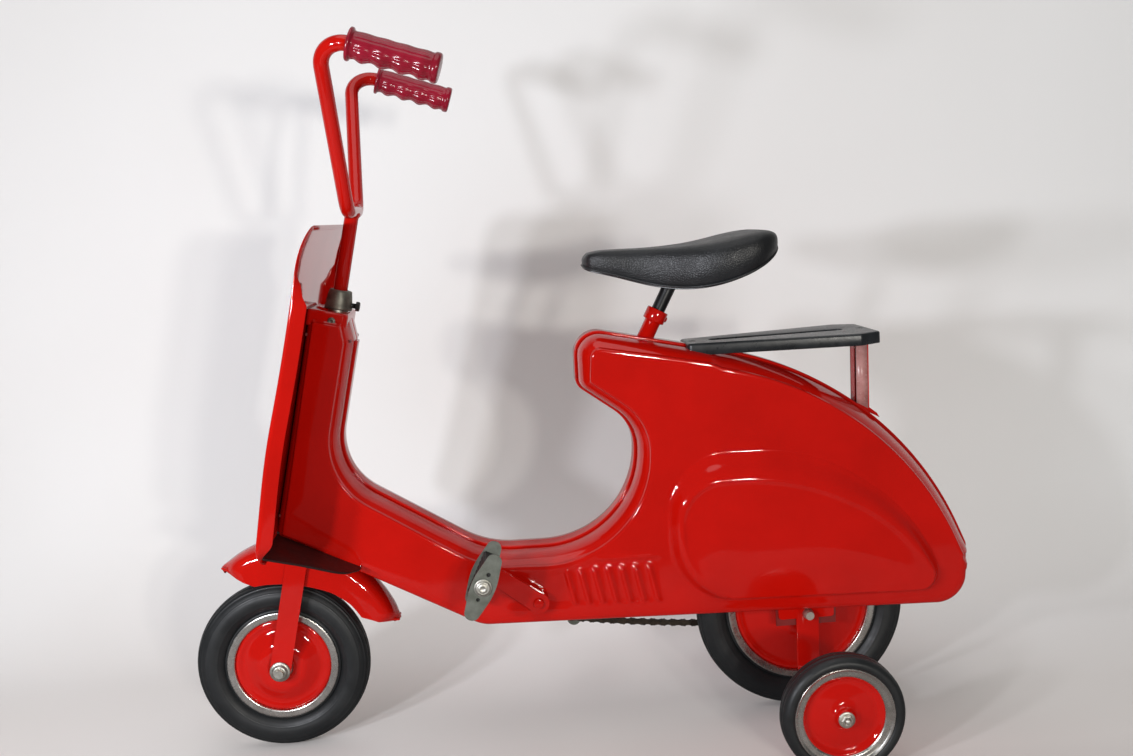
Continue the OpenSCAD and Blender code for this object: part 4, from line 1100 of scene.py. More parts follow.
# %% Sections of tyre, rim and disc
def tyre_profile(radius, seat):
    """A round section with shallow tread grooves, a shoulder line and a moulded ring on each side wall."""
    tube, half = 19, 12.0
    r_mid = radius - tube
    foot = seat - 6.4
    pts = [(foot, -half), (seat + 1.5, -half), (seat + 3.2, -12.6)]
    n = 92
    # Angles are degrees from straight out: three grooves, the shoulder, then two rings on the wall
    for i in range(n + 1):
        a = math.radians(222 - 264 * i / n)
        across = math.degrees(math.acos(max(-1, min(1, math.cos(a)))))
        depth = 0.0
        for groove in (7.5, 22, 36):
            depth += 0.95 * math.exp(-((across - groove) / 1.7) ** 2)
        depth += 0.5 * soft_step((across - 41) / 3)
        depth -= 0.42 * math.exp(-((across - 68) / 2.2) ** 2)
        depth -= 0.35 * math.exp(-((across - 112) / 3.0) ** 2)
        rr = tube - max(depth, 0.0) + (-min(depth, 0.0) - 0.45 if across > 41 else 0.0)
        pts.append((r_mid + rr * math.cos(a), -rr * math.sin(a)))
    pts = [p for p in pts if not (abs(p[1]) < half and p[0] < seat + 3)]
    pts += [(seat + 3.2, 12.6), (seat + 1.5, half), (foot, half)]
    return pts


def rim_profile(seat):
    """The rolled rim: two round beads and a flat between them."""
    lo = seat - 8
    right = [(lo + 1.6, 12.0), (seat - 0.5, 12.0), (seat + 0.8, 12.3), (seat + 1.0, 13.0), (seat + 0.5, 13.7),
             (seat - 1.0, 13.9), (seat - 3.5, 13.3), (seat - 5.5, 13.4), (lo + 0.6, 13.2), (lo, 12.2)]
    return right + [(r, -y) for r, y in reversed(right)]


def disc_profile(lo, side):
    """The pressed disc: a dish from the rim, a raised ring, then a flat boss at the hub."""
    line = [(lo, 8.2), (lo, 9.6), (lo - 1.5, 11.0), (lo - 3.5, 11.6), (lo - 6, 11.2), (lo - 8, 10.4),
            (lo - 12, 10.3), (lo - 15, 11.6), (34, 16.0), (31, 18.0), (28, 19.6), (25, 20.7), (22, 21.2),
            (18, 21.4), (13.1, 21.5), (13.1, 20.2), (22, 20.0), (30, 17.0), (lo - 14, 9.6), (lo - 8, 9.0)]
    return [(r, side * y) for r, y in line]

# %% [markdown]
# The front wheel is 8 inch over the tyre and the rear one 10 inch. They differ only in size and in the
# length of the hub, so one function makes both. Each turns on its own axle and is a body of its own.

# %% The front and the rear wheel
def main_wheel(prefix, centre, radius, body, hub_half):
    """Tyre, rim, two discs and hub of one wheel."""
    seat = radius - 37.5
    where = axle_frame(*centre)
    tyre = turned(prefix + "_tyre_moulding", tyre_profile(radius, seat), where, tyre_rubber, steps=160)
    settle(tyre, body, prefix + "_tyre")
    rim = turned(prefix + "_rim_pressing", rim_profile(seat), where, bright_ring, steps=160)
    settle(rim, body, prefix + "_rim")
    discs = [turned(prefix + f"_disc_{side}", disc_profile(seat - 8, side), where, enamel, steps=128)
             for side in (-1, 1)]
    settle(joined(prefix + "_disc_pressings", discs), body, prefix + "_discs")
    hub = [(5.06, -hub_half), (11.4, -hub_half), (12.2, -hub_half + 0.8), (12.6, -21.6), (13, -21), (13, 21),
           (12.6, 21.6), (12.2, hub_half - 0.8), (11.4, hub_half), (5.06, hub_half)]
    settle(turned(prefix + "_hub_turning", hub, where, zinc, steps=64), body, prefix + "_hub")


main_wheel("front", (0, FRONT_R), FRONT_R, "front_wheel", 27.2)
main_wheel("rear", (WHEELBASE, REAR_R), REAR_R, "rear_wheel", 31.6)

# %% [markdown]
# The small side wheels keep a beginner upright. Each is one pressed disc with a bright ring round it and a
# solid rubber tyre. The tyre's section is symmetric, so half of it would do, but written out whole it can
# be read like the drawing.

# %% The two stabiliser wheels
def stabiliser(side, word):
    """Disc, ring and tyre of one side wheel."""
    body = f"stabiliser_{word}"
    mid = side * STAY_Y
    where = axle_frame(*STAY_WHEEL)
    ring_r = 54.5
    tyre = [(ring_r, -12.2), (56, -13.2), (57.5, -13.8), (60.5, -13.9), (62.6, -13.0), (64.6, -11.2),
            (66.2, -8.6), (66.9, -6.2), (66.9, -5.2), (66.3, -4.7), (66.3, -3.9), (67, -3.4), (67, 3.4),
            (66.3, 3.9), (66.3, 4.7), (66.9, 5.2), (66.9, 6.2), (66.2, 8.6), (64.6, 11.2), (62.6, 13.0),
            (60.5, 13.9), (57.5, 13.8), (56, 13.2), (ring_r, 12.2)]
    moulding = turned(body + "_tyre", [(r, mid + y) for r, y in tyre], where, tyre_rubber, steps=128)
    settle(moulding, body, "stay_tyre_" + word)
    face = [(4.06, 15), (8.6, 15), (9.8, 14.2), (10, 12.6), (11.5, 8.8), (15, 7.0), (20, 6.2), (27, 5.4),
            (33, 4.2), (37, 3.4), (40, 3.9), (42.5, 6.2), (44.5, 8.4)]
    back = [(r, -y) for r, y in reversed(face)]
    rim_ring = [(44.5, 8.4), (45.6, 9.6), (47.5, 10.2), (50, 9.6), (52, 10.6), (53.6, 12.2), (54.4, 12.4),
                (54.4, 0), (54.4, -12.4), (53.6, -12.2), (52, -10.6), (50, -9.6), (47.5, -10.2), (45.6, -9.6),
                (44.5, -8.4), (43.8, -7.4), (52.6, 0), (43.8, 7.4)]
    pieces = [turned(body + "_disc", [(r, mid + y) for r, y in face + back], where, enamel, steps=96),
              turned(body + "_ring", [(r, mid + y) for r, y in rim_ring], where, bright_ring, steps=128)]
    settle(joined(body + "_wheel_pressing", pieces), body, "stay_disc_" + word)


stabiliser(-1, "left")
stabiliser(1, "right")

# %% [markdown]
# ## Stays and their bolts
#
# A flat bar is bent three times, down from the rear axle, out to the side and up again, and carries a side
# wheel. Its head is a plate with two bolts into the shell. The sweep gives the bends their real radius of 7
# mm, where joined boxes would meet in sharp corners.

# %% The bent stays
def stay(side, node):
    """The bent bar and its head plate, with side -1 for the left."""
    near, far = side * 37.4, side * 160
    path = bent_path([(625, near, 137), (625, near, 58), (625, far, 58), (625, far, 83)], 7, 9)
    pieces = [sweep("strap", path, box_profile(-2, 2, -13.5, 13.5, 0.9, 2), enamel, up=(1, 0, 0))]
    pieces.append(plate("head", box_profile(590, 657, 121, 150, 4, 4), side * 35.45, side * 39.35, enamel,
                        bevel=0.6))
    return settle(joined(f"bent_{node}", pieces), "frame", node)


stay(-1, "stay_left")
stay(1, "stay_right")

# %% [markdown]
# Each side wheel turns on a bolt with a washer and a nut. Two bolts hold each stay, and a domed cap ends
# the rear axle. They are only a few pixels wide in the photo, but their small highlights tell the eye that
# they are metal.

# %% Bolts of the stays and the rear axle's ends
wheel_bolts, stay_fixings, rear_ends = [], [], []
for side in (-1, 1):
    where = axle_frame(*STAY_WHEEL)
    wheel_bolts += bolt(f"stay_inner_{side}", where, side * 158, side * 158, 4, -side * 4, 6.4)
    for part, steps, line in (("stud", 32, [(0.01, 157), (4, 157), (4, 199.4), (0.01, 199.4)]),
                              ("end", 28, [(0.01, 203), (3.3, 203), (3.3, 205.2), (2.9, 206.1), (2.0, 206.8),
                                           (1.0, 207), (0.01, 207)])):
        wheel_bolts.append(turned(f"stay_{part}_{side}", [(r, side * h) for r, h in line], where, zinc,
                                  steps=steps, closed=False))
    wheel_bolts += nut_on_stud(f"stay_outer_{side}", where, side * 199.2, side, 4, 6.8, 3.2, 9)
    for x in (599, 650):
        spot = axle_frame(x, 142)
        stay_fixings += bolt(f"stay_bolt_{side}_{x}", spot, side * 31.5, side * 41, 2.5, side * 3, 4.4)
    dome = [(0.01, 39.4), (6.2, 39.4), (6.3, 40.4), (6.2, 44.6), (5.8, 46.0), (5.0, 47.6), (3.8, 48.9),
            (2.2, 49.7), (1.0, 49.95), (0.01, 50)]
    rear_ends.append(turned(f"rear_end_{side}", [(r, side * h) for r, h in dome],
                            axle_frame(WHEELBASE, REAR_R), zinc, steps=48, closed=False))
settle(joined("stabiliser_bolts", wheel_bolts), "frame", "stay_wheel_bolts")
settle(joined("stay_fixing_bolts", stay_fixings), "frame", "stay_bolts")
settle(joined("rear_axle_ends", rear_ends), "frame", "rear_axle_nuts")

# %% [markdown]
# ## Crank, pedals and chain
#
# The crank arms are flat forgings with round ends, painted red, one on each side and half a turn apart.
# Their outline is two arcs and two straight edges. The wide bevel of 2.2 mm stands for the forging's soft
# edges.

# %% The crank arms
def pedal_centre(side):
    """Where a pedal turns, and the angle of its crank arm."""
    a = CRANK_ANGLE + (math.pi if side > 0 else 0)
    return (CRANK[0] + CRANK_THROW * math.cos(a), CRANK[1] + CRANK_THROW * math.sin(a)), a


arms = []
for side in (-1, 1):
    _, a = pedal_centre(side)
    d, n = (math.cos(a), math.sin(a)), (-math.sin(a), math.cos(a))

    def at(u, v):
        return (CRANK[0] + d[0] * u + n[0] * v, CRANK[1] + d[1] * u + n[1] * v)

    outline = []
    for i in range(25):
        w = math.radians(70 + 220 * i / 24)
        outline.append(at(12.2 * math.cos(w), 12.2 * math.sin(w)))
    for i in range(19):
        w = math.radians(-80 + 160 * i / 18)
        outline.append(at(CRANK_THROW + 9.3 * math.cos(w), 9.3 * math.sin(w)))
    arms.append(plate(f"arm_{side}", outline, side * 57, side * 63, enamel, bevel=2.2, angle=30))
settle(joined("crank_arms_forged", arms), "crank", "crank_arms")

# %% [markdown]
# The spindle goes right through the body. A turned pin with a riveted, domed head holds each pedal. The
# head's rings are in the profile, since the pin's end faces the camera in the photo.

# %% The crank's spindle and the pedal pins
axle_line = [(0.01, -67.2), (4.6, -67.2), (5.6, -66.6), (6, -65.8), (6, 65.8), (5.6, 66.6), (4.6, 67.2),
             (0.01, 67.2)]
spindle = turned("crank_spindle", axle_line, axle_frame(*CRANK), enamel, steps=40, closed=False)
settle(spindle, "crank", "crank_axle")

pins = []
PIN = [(0.01, 56.4), (5, 56.4), (5, 64), (7, 64.4), (7, 71.8), (6.4, 72.4), (5, 72.8), (5, 131.1),
       (9.6, 131.2), (9.7, 131.9), (8.9, 132.3), (8.6, 132.2), (8.3, 133.0), (7.4, 134.2), (6.2, 134.8),
       (5.6, 134.5), (4.9, 134.6), (4.3, 135.1), (2.6, 135.3), (2.2, 134.9), (0.01, 134.9)]
for side in (-1, 1):
    centre, _ = pedal_centre(side)
    pins.append(turned(f"pin_{side}", [(r, side * h) for r, h in PIN], axle_frame(*centre), zinc, steps=48,
                       closed=False))
settle(joined("pedal_pins_turned", pins), "crank", "pedal_pins")

# %% [markdown]
# A pedal is a rubber block with ribs for the foot, held between two stamped plates shaped like a lens. The
# plates have two rivet holes and weathered steel faces. The block is one outline with saw teeth, which
# gives ribs along its whole length as an extruded block has.

# %% The pedals
LENS = [(-39, -7, 8), (0, -15, 80), (39, -7, 8), (39, 7, 8), (0, 15, 80), (-39, 7, 8)]
LENS_PLAN = arc_plan(LENS, 2.5)


def pedal(side, word):
    """Two plates and the block between them, tilted 64 degrees from level."""
    (px, pz), _ = pedal_centre(side)
    tilt = math.radians(64)
    c, s = math.cos(tilt), math.sin(tilt)

    def where(u, y, v):
        return (px + u * c - v * s, y, pz + u * s + v * c)

    lens = [tuple(p) for p in ring(LENS, LENS_PLAN, 0)]
    holes = [round_profile(-14.5, 0, 2.1, 20), round_profile(15.5, 0, 2.4, 20), round_profile(0, 0, 5.06, 32)]
    plates = []
    for part, near, far in (("outer", 129, 131), ("inner", 78, 80)):
        y0, y1 = sorted((side * near, side * far))
        plates.append(plate(part, lens, y0, y1, pedal_steel, holes=holes, bevel=0.45, where=where))
    settle(joined(f"pedal_plates_{word}_pressed", plates), f"pedal_{word}", f"pedal_plates_{word}")
    rib = []
    ribs = 9
    for i in range(ribs):
        x0 = -25 + 50 * i / ribs
        x1 = x0 + 50 / ribs
        rib += [(x0, 7.6), (x0 + 0.6, 9.0), (x1 - 1.8, 9.0), (x1 - 1.2, 7.6)]
    block = rib + [(25, 7.6), (25, -7.6)] + [(x, -z) for x, z in reversed(rib)]
    block = [p for i, p in enumerate(block) if i == 0 or p != block[i - 1]]
    y0, y1 = sorted((side * 80.2, side * 128.8))
    tread = plate("block", block, y0, y1, block_rubber, holes=[round_profile(0, 0, 5.08, 24)], bevel=0.4,
                  where=where)
    settle(joined(f"pedal_block_{word}_rubber", [tread]), f"pedal_{word}", f"pedal_block_{word}")


pedal(-1, "left")
pedal(1, "right")

# %% [markdown]
# The chain has links of half an inch. It wraps the big toothed wheel and the small one, runs straight above
# and sags a little below. The sag isn't guessed: it is searched until 70 links fit round the loop, and kept
# under 7 mm.

# %% The line the chain follows
PITCH = 12.7
RING_TEETH, COG_TEETH = 22, 16
RING_R = PITCH / (2 * math.sin(math.pi / RING_TEETH))
COG_R = PITCH / (2 * math.sin(math.pi / COG_TEETH))
LINKS = 70
CHAIN_Y = 27.0
MAX_SAG = 7.0


def chain_line(sag):
    """The pitch line as evenly fine points: chainring, sagging lower run, sprocket, tight upper run."""
    c0, c1 = np.array(CRANK), np.array([WHEELBASE, REAR_R])
    d = c1 - c0
    ang = math.atan2(d[1], d[0])
    wrap = math.asin((RING_R - COG_R) / np.linalg.norm(d))
    up, low = ang + math.pi / 2 - wrap, ang - math.pi / 2 + wrap

    def toward(a):
        return np.array([math.cos(a), math.sin(a)])

    p1, p2 = c0 + toward(low) * RING_R, c1 + toward(low) * COG_R
    line = [c0 + toward(up + (low + 2 * math.pi - up) * i / 200) * RING_R for i in range(200)]
    line += [p1 + (p2 - p1) * u + toward(low) * sag * 4 * u * (1 - u) for u in np.linspace(0, 1, 200)[:-1]]
    line += [c1 + toward(low + (up - low) * i / 150) * COG_R for i in range(150)]
    p3, p4 = c1 + toward(up) * COG_R, c0 + toward(up) * RING_R
    line += [p3 + (p4 - p3) * u for u in np.linspace(0, 1, 100)[:-1]]
    return np.array(line)


def loop_length(line):
    """The length of a closed line."""
    return np.linalg.norm(np.roll(line, -1, axis=0) - line, axis=1).sum()


low_sag, high_sag = 0.0, 30.0
for _ in range(40):
    mid_sag = (low_sag + high_sag) / 2
    if loop_length(chain_line(mid_sag)) < LINKS * PITCH * 1.0012:
        low_sag = mid_sag
    else:
        high_sag = mid_sag
sag = min(mid_sag, MAX_SAG)
line = chain_line(sag)
steps = np.linalg.norm(np.roll(line, -1, axis=0) - line, axis=1)
travel = np.concatenate([[0], np.cumsum(steps)])
closed_line = np.vstack([line, line[:1]])
marks = np.linspace(0, travel[-1], LINKS, endpoint=False)
pins_at = np.column_stack([np.interp(marks, travel, closed_line[:, axis_no]) for axis_no in (0, 1)])
print(f"chain: {LINKS} links, loop {travel[-1]:.1f} mm, sag {sag:.2f} mm")

# %% [markdown]
# Every link is two plates like an eight, a roller between them and a pin through all. Copies of one link on
# a curve would be the quick way, but then the links would bend. Here each spans two pins, as on a real
# chain. The whole chain is one mesh, since it is one piece in the CAD part.

# %% The chain's links
def figure_eight(length, r, waist, n=9):
    """A link plate's outline: two round ends and a narrow waist."""
    pts = []
    for i in range(n):
        a = math.radians(-62 + 124 * i / (n - 1))
        pts.append((length + r * math.cos(a), r * math.sin(a)))
    pts.append((length / 2, waist))
    for i in range(n):
        a = math.radians(118 + 124 * i / (n - 1))
        pts.append((r * math.cos(a), r * math.sin(a)))
    pts.append((length / 2, -waist))
    return pts


chain_points, chain_faces = [], []


def add_prism(profile, y0, y1):
    """Adds one short bar of that outline to the chain."""
    base, n = len(chain_points), len(profile)
    chain_points.extend([(x, y0, z) for x, z in profile] + [(x, y1, z) for x, z in profile])
    chain_faces.append(tuple(base + i for i in range(n)))
    chain_faces.append(tuple(base + n + i for i in reversed(range(n))))
    chain_faces.extend((base + (i + 1) % n, base + i, base + n + i, base + n + (i + 1) % n) for i in range(n))


for i in range(LINKS):
    a, b = pins_at[i], pins_at[(i + 1) % LINKS]
    d = b - a
    gap = np.linalg.norm(d)
    d = d / gap
    n2 = np.array([-d[1], d[0]])
    shape = [tuple(a + d * u + n2 * v) for u, v in figure_eight(gap, 4.5, 2.5)]
    out = 2.15 if i % 2 else 1.55
    for y in (-1, 1):
        y0, y1 = sorted((CHAIN_Y + y * out, CHAIN_Y + y * (out + 0.6)))
        add_prism(shape, y0, y1)
    add_prism(round_profile(a[0], a[1], 3.9, 14), CHAIN_Y - 1.5, CHAIN_Y + 1.5)
    add_prism(round_profile(a[0], a[1], 1.7, 10), CHAIN_Y - 3.0, CHAIN_Y + 3.0)
chain = mesh_object("roller_chain", chain_points, chain_faces, chain_steel, smooth=False)
settle(chain, "frame", "chain")

# %% [markdown]
# ## Seat and carrier
#
# The seat is foam under black vinyl, pulled tight over a steel base. It is narrow in front, wide and humped
# behind, and has no folds, so a cloth simulation would only add wrinkles that aren't there. One section is
# carried along a table of widths and heights, read off the photo, and a shallow dip is pressed in where one
# sits.

# %% The seat cover
# Along the toy, half width, underside and top
SEAT = [(380, 8, 551.5, 559.5), (382.5, 15, 549.5, 563), (387, 21, 547.5, 566.3), (400, 27, 544, 568.5),
        (418, 31, 539, 569), (434, 34, 534, 569.2), (454, 40, 528.4, 569.3), (474, 50, 524.6, 570),
        (490, 60, 523.4, 570.8), (505, 69, 523.8, 571.8), (520, 75.5, 525.6, 573.6), (535, 79.3, 528.8, 576),
        (550, 80.8, 533.2, 578.8), (565, 80.4, 539, 581.2), (577, 77, 545, 582.6), (586, 71.5, 551, 582.7),
        (592.5, 64, 556.4, 581), (596.5, 54.5, 561, 577.8), (598.6, 42, 564.6, 573.8)]
# One half of the section, as shares of the half width and of the height
SEAT_SECTION = [(0.0, -0.0), (0.4, 0.0), (0.78, 0.0), (0.87, 0.005), (0.90, 0.02), (0.925, 0.055), (0.94, 0.10),
                (0.968, 0.2), (0.988, 0.32), (0.998, 0.44), (1.0, 0.56), (0.992, 0.68), (0.972, 0.785),
                (0.935, 0.865), (0.885, 0.922), (0.80, 0.962), (0.68, 0.985), (0.52, 0.996), (0.34, 1.0),
                (0.17, 1.003), (0.0, 1.004)]


def smooth_rows(rows, n):
    """A table with n smooth steps between its rows."""
    rows = np.array(rows, float)
    out = []
    for i in range(len(rows) - 1):
        p0, p1, p2, p3 = rows[max(i - 1, 0)], rows[i], rows[i + 1], rows[min(i + 2, len(rows) - 1)]
        for k in range(n):
            t = k / n
            out.append(0.5 * (2 * p1 + (p2 - p0) * t + (2 * p0 - 5 * p1 + 4 * p2 - p3) * t * t
                              + (3 * p1 - p0 - 3 * p2 + p3) * t ** 3))
    out.append(rows[-1])
    return out


def seat_cover():
    section = SEAT_SECTION + [(-u, v) for u, v in reversed(SEAT_SECTION[1:-1])]
    rows = smooth_rows(SEAT, 4)
    points = []
    for x, w, b, t in rows:
        for u, v in section:
            dip = 0.0
            if v > 0.9:
                dip = 2.2 * math.exp(-((x - 480) / 60) ** 2) * (1 - abs(u))
            points.append((x, u * w, b + v * (t - b) - dip))
    cols = len(section)
    faces = grid_faces(len(rows), cols, wrap_cols=True)
    faces += [tuple(range(cols)), tuple(range(len(points) - cols, len(points)))]
    obj = mesh_object("seat_vinyl_cover", points, faces, vinyl)
    return settle(obj, "saddle", "seat_cover")


seat_cover()

# %% [markdown]
# A thin cord is sewn in where the cover turns under. At this size it is a bead of 3 mm that runs round the
# lower edge. Without it the cover would look moulded.

# %% The seat's sewn edge
def seat_piping():
    """The cord sewn round the seat's lower edge."""
    rows = smooth_rows(SEAT, 4)
    side = [(x, -w * 0.915, b + 0.7) for x, w, b, t in rows]
    loop = side + [(x, -y, z) for x, y, z in reversed(side)]
    obj = sweep("seat_edge_piping", loop, round_profile(0, 0, 1.5, 10), vinyl, closed=True, up=(0, 0, 1))
    return settle(obj, "saddle")


seat_piping()

# %% [markdown]
# The cover is folded over a pressed steel base. Only a dark strip of it is seen from below, but the post is
# welded to it. It follows the same table as the cover, so the two can't drift apart.

# %% The seat's base
def seat_pan():
    """The thin steel base that the padding sits on, as wide as the sewn edge leaves bare."""
    rows = smooth_rows(SEAT, 4)
    points = [(x, share * w, b - drop) for x, w, b, t in rows
              for share, drop in ((-0.84, 0), (0.84, 0), (0.84, 2.2), (-0.84, 2.2))]
    faces = grid_faces(len(rows), 4, wrap_cols=True)
    faces += [(0, 1, 2, 3), tuple(range(len(points) - 4, len(points)))]
    return settle(mesh_object("seat_base_pan", points, faces, black_enamel, bevel=0.4), "saddle", "seat_pan")


seat_pan()

# %% [markdown]
# The seat post leans back 28 degrees in a tube that is welded into the body. A rolled collar at the tube's
# mouth takes a small screw, which is painted over. The collar is part of the tube's turned line.

# %% The seat's socket and clamp screw
POST_AT = Vector((463, 0, 489.5))
POST_DIR = Vector((math.sin(math.radians(28)), 0, math.cos(math.radians(28))))
post_frame = line_frame(POST_AT, POST_DIR)
socket_line = [(8.06, -100), (9.5, -100), (9.5, -8.4), (10.2, -7.6), (12.2, -7.2), (12.8, -6.4), (12.8, 6.2),
               (12.3, 7.0), (11.4, 7.2), (8.06, 7.2)]
settle(turned("seat_socket_tube", socket_line, post_frame, enamel, steps=56), "frame", "seat_socket")


def post_side(u, v, h):
    """An axis that leaves the post square to it, towards the rear."""
    rear = Vector((POST_DIR.z, 0, -POST_DIR.x))
    return tuple(POST_AT + rear * h + POST_DIR * u + Vector((0, 1, 0)) * v)


screw = bolt("seat_bolt", post_side, 8.3, 12.6, 2.6, 1.6, 3.4, material=enamel)
settle(joined("seat_clamp_screw", screw), "frame", "seat_clamp_bolt")

# %% [markdown]
# The carrier is a black pressed tray turned upside down: a flat top with a long slot, a soft shoulder and a
# skirt. It is drawn from the outside in as rings, and the flat is filled between the last ring and the
# slot's first.

# %% The carrier
TILT = math.atan2(4, 221)


def on_carrier(u, y, v):
    """Along, across and above the tilted top of the carrier."""
    return (495 + u * math.cos(TILT) - v * math.sin(TILT), y, 456.5 + u * math.sin(TILT) + v * math.cos(TILT))


CARRIER = [(0, -29, 6), (195, -59, 8), (221, -45, 6), (221, 45, 6), (195, 59, 8), (0, 29, 6)]
CARRIER_PLAN = arc_plan(CARRIER, 5)
SLOT = [(30, -7, 6.9), (190, -7, 6.9), (190, 7, 6.9), (30, 7, 6.9)]
SLOT_PLAN = arc_plan(SLOT, 5)


def carrier():
    rows, points = [], []
    for inset, v in ((0.3, -13.6), (0, -13.0), (0, -7), (0, -2.6), (0.25, -1.5), (0.9, -0.6), (1.9, -0.1),
                     (3.4, 0)):
        rows.append([(u, y, v) for u, y in ring(CARRIER, CARRIER_PLAN, inset)])
    inner = []
    for inset, v in ((1.4, 0.0), (0.5, -0.3), (0.0, -1.2), (0, -3.2)):
        inner.append([(u, y, v) for u, y in ring(SLOT, SLOT_PLAN, -inset)])
    n, m = len(rows[0]), len(inner[0])
    for r in rows + inner:
        points += r
    faces = grid_faces(len(rows), n, wrap_cols=True)
    base = len(rows) * n
    faces += grid_faces(len(inner), m, wrap_cols=True, first=base)
    outer_loop = [(p[0], p[1]) for p in rows[-1]]
    slot_loop = [(p[0], p[1]) for p in inner[0]]
    flat = [Vector(p) for p in outer_loop + slot_loop]
    edges = [(i, (i + 1) % n) for i in range(n)] + [(n + i, n + (i + 1) % m) for i in range(m)]
    verts, _, tris, _, _, _ = delaunay_2d_cdt(flat, edges, [], 2, 1e-5)
    start = len(points)
    points += [(v[0], v[1], 0.0) for v in verts]
    faces += [tuple(start + i for i in t) for t in tris if inside_all(t, verts, [outer_loop, slot_loop])]
    points = [on_carrier(*p) for p in points]
    return settle(mesh_object("carrier_pressing", points, faces, black_enamel, thick=1.6), "frame", "carrier")


carrier()

# %% [markdown]
# Four small screws hold the carrier and the column's lid: two flat heads in the carrier and two round heads
# in the lid, each with a small hollow in the head. They are turned in one pass, head and hollow together.

# %% The screws in carrier and lid
screws = []
flat_head = [(0.01, -4.8), (2.5, -4.8), (2.5, -1.9), (4.5, -0.1), (4.5, 0.12), (1.2, 0.16), (1.2, -0.6),
             (0.01, -0.6)]
for u in (10, 211):
    screws.append(turned(f"carrier_screw_{u}", flat_head, lambda p, q, h, u=u: on_carrier(u + p, q, h),
                         dark_steel, steps=32, closed=False))
round_head = [(0.01, 38.2), (2.5, 38.2), (2.5, 41.1), (4.5, 42.9), (4.5, 43.1), (3.9, 43.6), (2.6, 44.0),
              (1.2, 44.1), (1.2, 43.3), (0.01, 43.3)]
for side in (-1, 1):
    screws.append(turned(f"cap_screw_{side}", round_head,
                         lambda p, q, h, side=side: steer_xyz(417 + p, q, side * h),
                         cast_grey, steps=32, closed=False))
settle(joined("round_head_screws", screws), "frame", "body_screws")

# %% [markdown]
# A folded red channel props the carrier's rear. Its near face mirrors the pale paper sweep, and that
# reflection is painted on as a pale pink skin. The channel is a web and two flanges, made as three plates and
# joined, and the painted reflection is a skin a tenth of a millimetre thick.

# %% The carrier's strut
strut = [
    plate("web", box_profile(-8.5, 8.5, 366, 449, 0.8), 697, 699.4, enamel, bevel=0.5,
          where=lambda y, x, z: (x, y, z)),
]
for side in (-1, 1):
    y0, y1 = sorted((side * 6.1, side * 8.5))
    flange = [(697, 370), (714, 359), (714, 448.4), (697, 448.1)]
    strut.append(plate("flange", flange, y0, y1, enamel, bevel=0.5))
# The pale pink skin on the near flange is a painted reflection of the paper sweep
reflection_outline = [(698.6, 372), (712.6, 364), (712.6, 448), (698.6, 448)]
strut.append(plate("painted_reflection_face", reflection_outline, -8.62, -8.5, painted_reflection_pink))
foot = [(698, 377.0), (709, 369.5), (724, 357.5), (727, 352), (712, 360), (698, 370)]
strut.append(plate("foot", foot, -7.5, 7.5, enamel, bevel=0.6))
settle(joined("carrier_strut_channel", strut), "frame", "carrier_strut")

# %% [markdown]
# ## Toothed wheels, the column's lid and the parts kept from the CAD model
#
# The chain's two toothed wheels sit inside the shell and show only from below. A tooth is a round valley
# for the roller and a narrow tip, and the valleys are turned so that the rollers lie in them. A gear tool
# would give involute teeth, which a chain wheel doesn't have.

# %% The toothed wheels
def toothed_wheel(name, centre, teeth, phase, bore, holes, body, node):
    """A stamped chain wheel with a bore and round lightening holes."""
    r = PITCH / (2 * math.sin(math.pi / teeth))
    outline = []
    for i in range(teeth):
        for share, radius in ((0.0, -4.15), (0.13, -3.85), (0.24, -2.6), (0.33, 0.2), (0.41, 2.7), (0.46, 3.5),
                              (0.54, 3.5), (0.59, 2.7), (0.67, 0.2), (0.76, -2.6), (0.87, -3.85)):
            a = phase + 2 * math.pi * (i + share) / teeth
            outline.append((centre[0] + (r + radius) * math.cos(a), centre[1] + (r + radius) * math.sin(a)))
    cuts = [round_profile(*centre, bore, 40)]
    cuts += [round_profile(centre[0] + 25 * math.cos(a), centre[1] + 25 * math.sin(a), 8, 28) for a in holes]
    obj = plate(name, outline, CHAIN_Y - 1, CHAIN_Y + 1, chain_steel, holes=cuts, bevel=0.25)
    settle(obj, body, node)


ring_phase = math.atan2(line[0][1] - CRANK[1], line[0][0] - CRANK[0])
rear_axle_at = np.array([WHEELBASE, REAR_R])
on_cog = min(pins_at, key=lambda p: abs(np.linalg.norm(p - rear_axle_at) - COG_R) - p[0] / 1000)
cog_phase = math.atan2(on_cog[1] - REAR_R, on_cog[0] - WHEELBASE)
five_holes = [math.radians(a) for a in range(0, 360, 72)]
toothed_wheel("chainring_toothed", CRANK, RING_TEETH, ring_phase, 6.02, five_holes, "crank", "chainring")
toothed_wheel("rear_sprocket_toothed", (WHEELBASE, REAR_R), COG_TEETH, cog_phase, 13.02, [], "rear_wheel",
              "rear_sprocket")

# %% [markdown]
# A shallow pressed lid closes the column's top round the steerer. It is small but sits where the eye goes,
# so its edge is a real radius in seven rings.

